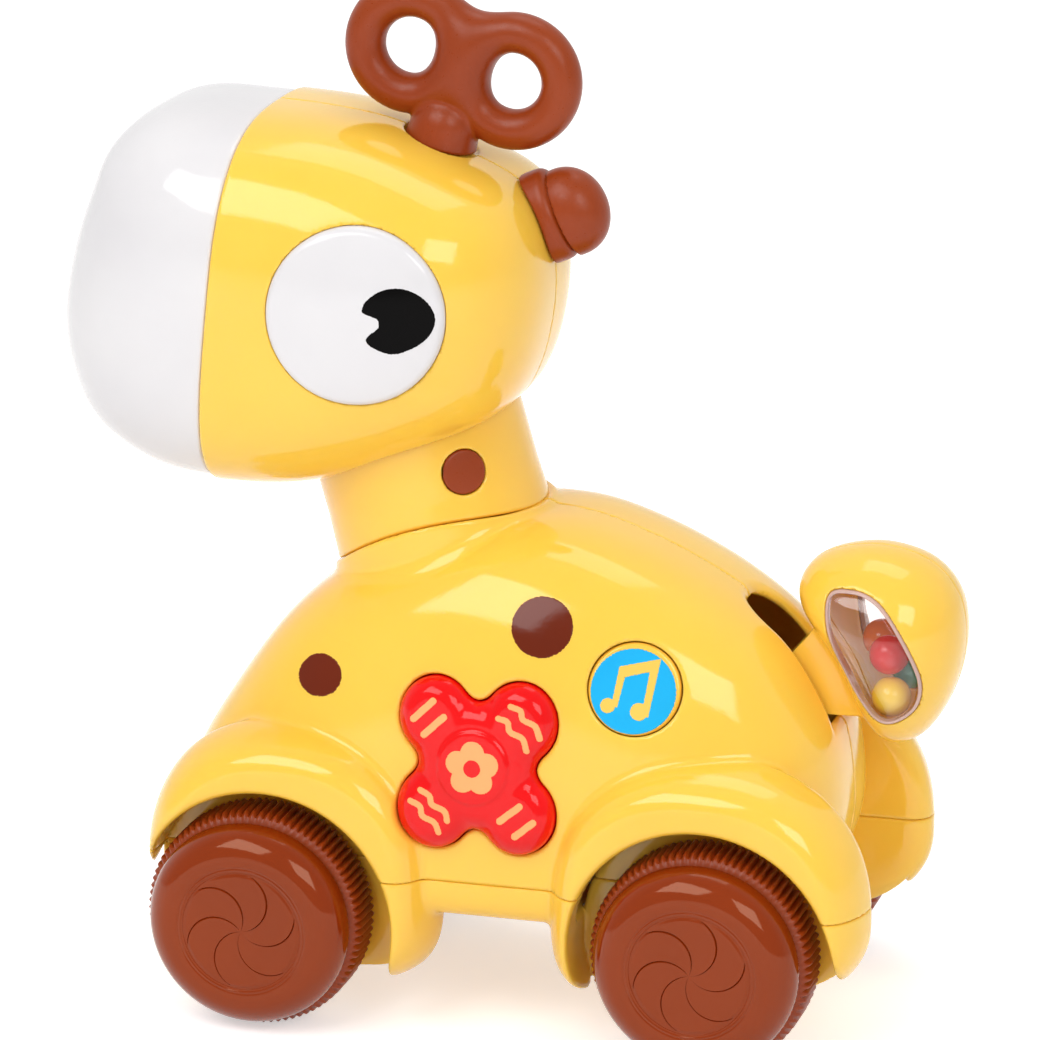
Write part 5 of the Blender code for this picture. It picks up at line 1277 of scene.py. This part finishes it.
GROOVE_COUNT = 6
GROOVE_BEND = 11.0
GROOVE_END = 10.5
GROOVE_STEP = 0.2
GROOVE_DEPTH = 0.2
GROOVE_START = math.radians(6)
GROOVE_PHASES = [0.0, 0.025, *np.linspace(0.07, 0.93, 16), 0.975]
CAP_BACK = 35.95
CAP_HUB_RADIUS = 8.0
CAP_RIM = [(18.1, CAP_BACK), (18.45, 36.8), (18.2, 38.4), (17.4, 39.9), (16.2, 41.1), (14.8, 41.9),
           (13.4, 42.2), (12.6, 42.24), (12.0, 42.2)]
DISC_LEVEL = 42.02
DISC_RADIUS = 10.9
DISC_DOME = 0.12
BEAD_RING_RADIUS = 11.45
BEAD_RING_RISE = 0.16
BEAD_RING_WIDTH = 0.2
# Outside the bead ring the cap rises to its rim, and the dome falls towards its edge
CAP_RIM_START = 11.7
CAP_RIM_RUN = 0.3
CAP_RIM_RISE = 0.18
DISC_EDGE_START = 9.2
DISC_EDGE_WIDTH = 1.7
# The grooves end short of the bead ring, and rings of points lie closer together there
GROOVE_LIMIT = 10.55
GROOVE_FADE = 0.3
DISC_RADII = np.concatenate([np.arange(11.85, GROOVE_LIMIT, -0.1), np.arange(GROOVE_END, 0.3, -0.25)])


def ring(x, y, z, reach, turns):
    """Points round an axis that runs along Y."""
    return np.column_stack([x + reach * np.cos(turns), np.broadcast_to(y, turns.shape),
                            z + reach * np.sin(turns)])


def cap_ring(axle_x, radius, height, relief):
    """One ring of a wheel cap; its points follow the pinwheel, fine grooves with a step on one side."""
    twist = math.asin(min(radius, GROOVE_END) / GROOVE_BEND)
    grooves = np.repeat(np.arange(GROOVE_COUNT), len(GROOVE_PHASES))
    phases = np.tile(GROOVE_PHASES, GROOVE_COUNT)
    rise = relief * np.where(phases > 0, GROOVE_STEP * (1 - phases), -GROOVE_DEPTH)
    turns = GROOVE_START + twist + 2 * math.pi * (grooves + phases) / GROOVE_COUNT
    return ring(axle_x, -height - rise, WHEEL_RADIUS, radius, turns)


def disc_height(radius):
    """The cap's middle: a bead ring between two fine grooves round a low dome."""
    level = DISC_LEVEL + BEAD_RING_RISE * math.exp(-((radius - BEAD_RING_RADIUS) / BEAD_RING_WIDTH) ** 2)
    if radius > DISC_RADIUS:
        return level + CAP_RIM_RISE * max(0.0, (radius - CAP_RIM_START) / CAP_RIM_RUN)
    edge = max(0.0, (radius - DISC_EDGE_START) / DISC_EDGE_WIDTH)
    return level + DISC_DOME * (1 - (radius / DISC_RADIUS) ** 2) - DISC_DOME * edge ** 2


def add_cap(axle, axle_x, body):
    rings = [np.array([(axle_x, -CAP_BACK, WHEEL_RADIUS)]), cap_ring(axle_x, CAP_HUB_RADIUS, CAP_BACK, 0)]
    rings += [cap_ring(axle_x, radius, height, 0) for radius, height in open_spline(CAP_RIM, 5)]
    for radius in DISC_RADII:
        relief = min(1.0, radius / 2.0) * min(1.0, max(0.0, (GROOVE_LIMIT - radius) / GROOVE_FADE))
        rings.append(cap_ring(axle_x, radius, disc_height(radius), relief))
    rings.append(np.array([(axle_x, -disc_height(0.0) - 0.05, WHEEL_RADIUS)]))
    add_rings("cap_%s_left_face" % axle, rings, BROWN_GLOSS, body, "wheel_cap_%s_left" % axle,
              mirrored=True)


RIB_COUNT = 88
RIB_STEPS = 8
RIB_DEPTH = 0.85
# Radius, distance from the mid-plane, and share of the ribs
TREAD_PROFILE = [(1.75, 35.6, 0), (17.4, 35.6, 0), (18.3, 35.4, 0), (18.9, 34.9, 0.5), (19.1, 34.2, 0.95),
                 (19.15, 33.4, 1), (19.15, 27.0, 1), (19.1, 26.4, 0.95), (18.8, 25.7, 0.5), (18.1, 25.25, 0),
                 (17.2, 25.2, 0), (16.6, 25.3, 0), (16.2, 25.8, 0), (15.9, 29.0, 0), (5.8, 29.0, 0),
                 (5.5, 25.6, 0), (5.1, 25.2, 0), (1.75, 25.2, 0), (1.75, 35.6, 0)]


def add_tread(axle, axle_x, body):
    turns = -math.pi / 2 + 2 * math.pi * np.arange(RIB_COUNT * RIB_STEPS) / (RIB_COUNT * RIB_STEPS)
    rib = (0.5 + 0.5 * np.cos(RIB_COUNT * (turns + math.pi / 2))) ** 0.7
    rings = [ring(axle_x, -height, WHEEL_RADIUS, radius + RIB_DEPTH * share * rib, turns)
             for radius, height, share in TREAD_PROFILE]
    add_rings("tread_%s_left_ribs" % axle, rings[::-1], BROWN, body, "wheel_%s_left" % axle,
              mirrored=True)


def add_wheels():
    for axle, axle_x in (("front", FRONT_AXLE_X), ("rear", REAR_AXLE_X)):
        add_cap(axle, axle_x, axle + "_wheels")
        add_tread(axle, axle_x, axle + "_wheels")


BEAD_STEPS = 40
BEAD_SEAM = 0.06
BEAD_SKIN = BEAD_RADIUS - 0.08


def add_beads():
    turns = 2 * math.pi * np.arange(BEAD_STEPS) / BEAD_STEPS
    for name, (x, y, z) in BEADS.items():
        rings = [np.array([(x, y - BEAD_RADIUS, z)])]
        for step in range(1, BEAD_STEPS):
            tilt = math.pi * step / BEAD_STEPS
            seam = BEAD_SEAM if step == BEAD_STEPS // 2 else 0.0
            reach = (BEAD_SKIN + seam) * math.sin(tilt)
            rings.append(ring(x, y - BEAD_SKIN * math.cos(tilt), z, reach, turns))
        rings.append(np.array([(x, y + BEAD_RADIUS, z)]))
        add_rings(name + "_ball", rings[::-1], BEAD_FINISH[name], "tail", name)


SQUEEZED = {"return_spring": "head_press", "flower_pad": "flower_press", "music_pad": "music_press"}


def add_squeezed(node):
    """A copy of a soft node, on a mesh of its own and hung on the body; the node itself is hidden."""
    source = frame["nodes"][node]
    made = add_object(node + "_soft", source.data.copy())
    made.matrix_world = source.matrix_world.copy()
    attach(made, "body")
    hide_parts(node)
    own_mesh(made)


add_camera()
add_stage()
for node, thing in frame["nodes"].items():
    thing.data.materials.clear()
    thing.data.materials.append(SLOT_FINISH[SLOTS[node]])
add_body()
add_head()
add_tail()
add_buttons()
add_prints()
add_wheels()
add_beads()
for node, joint_name in SQUEEZED.items():
    add_squeezed(node)
scene = bpy.context.scene
scene.view_settings.view_transform = "Standard"
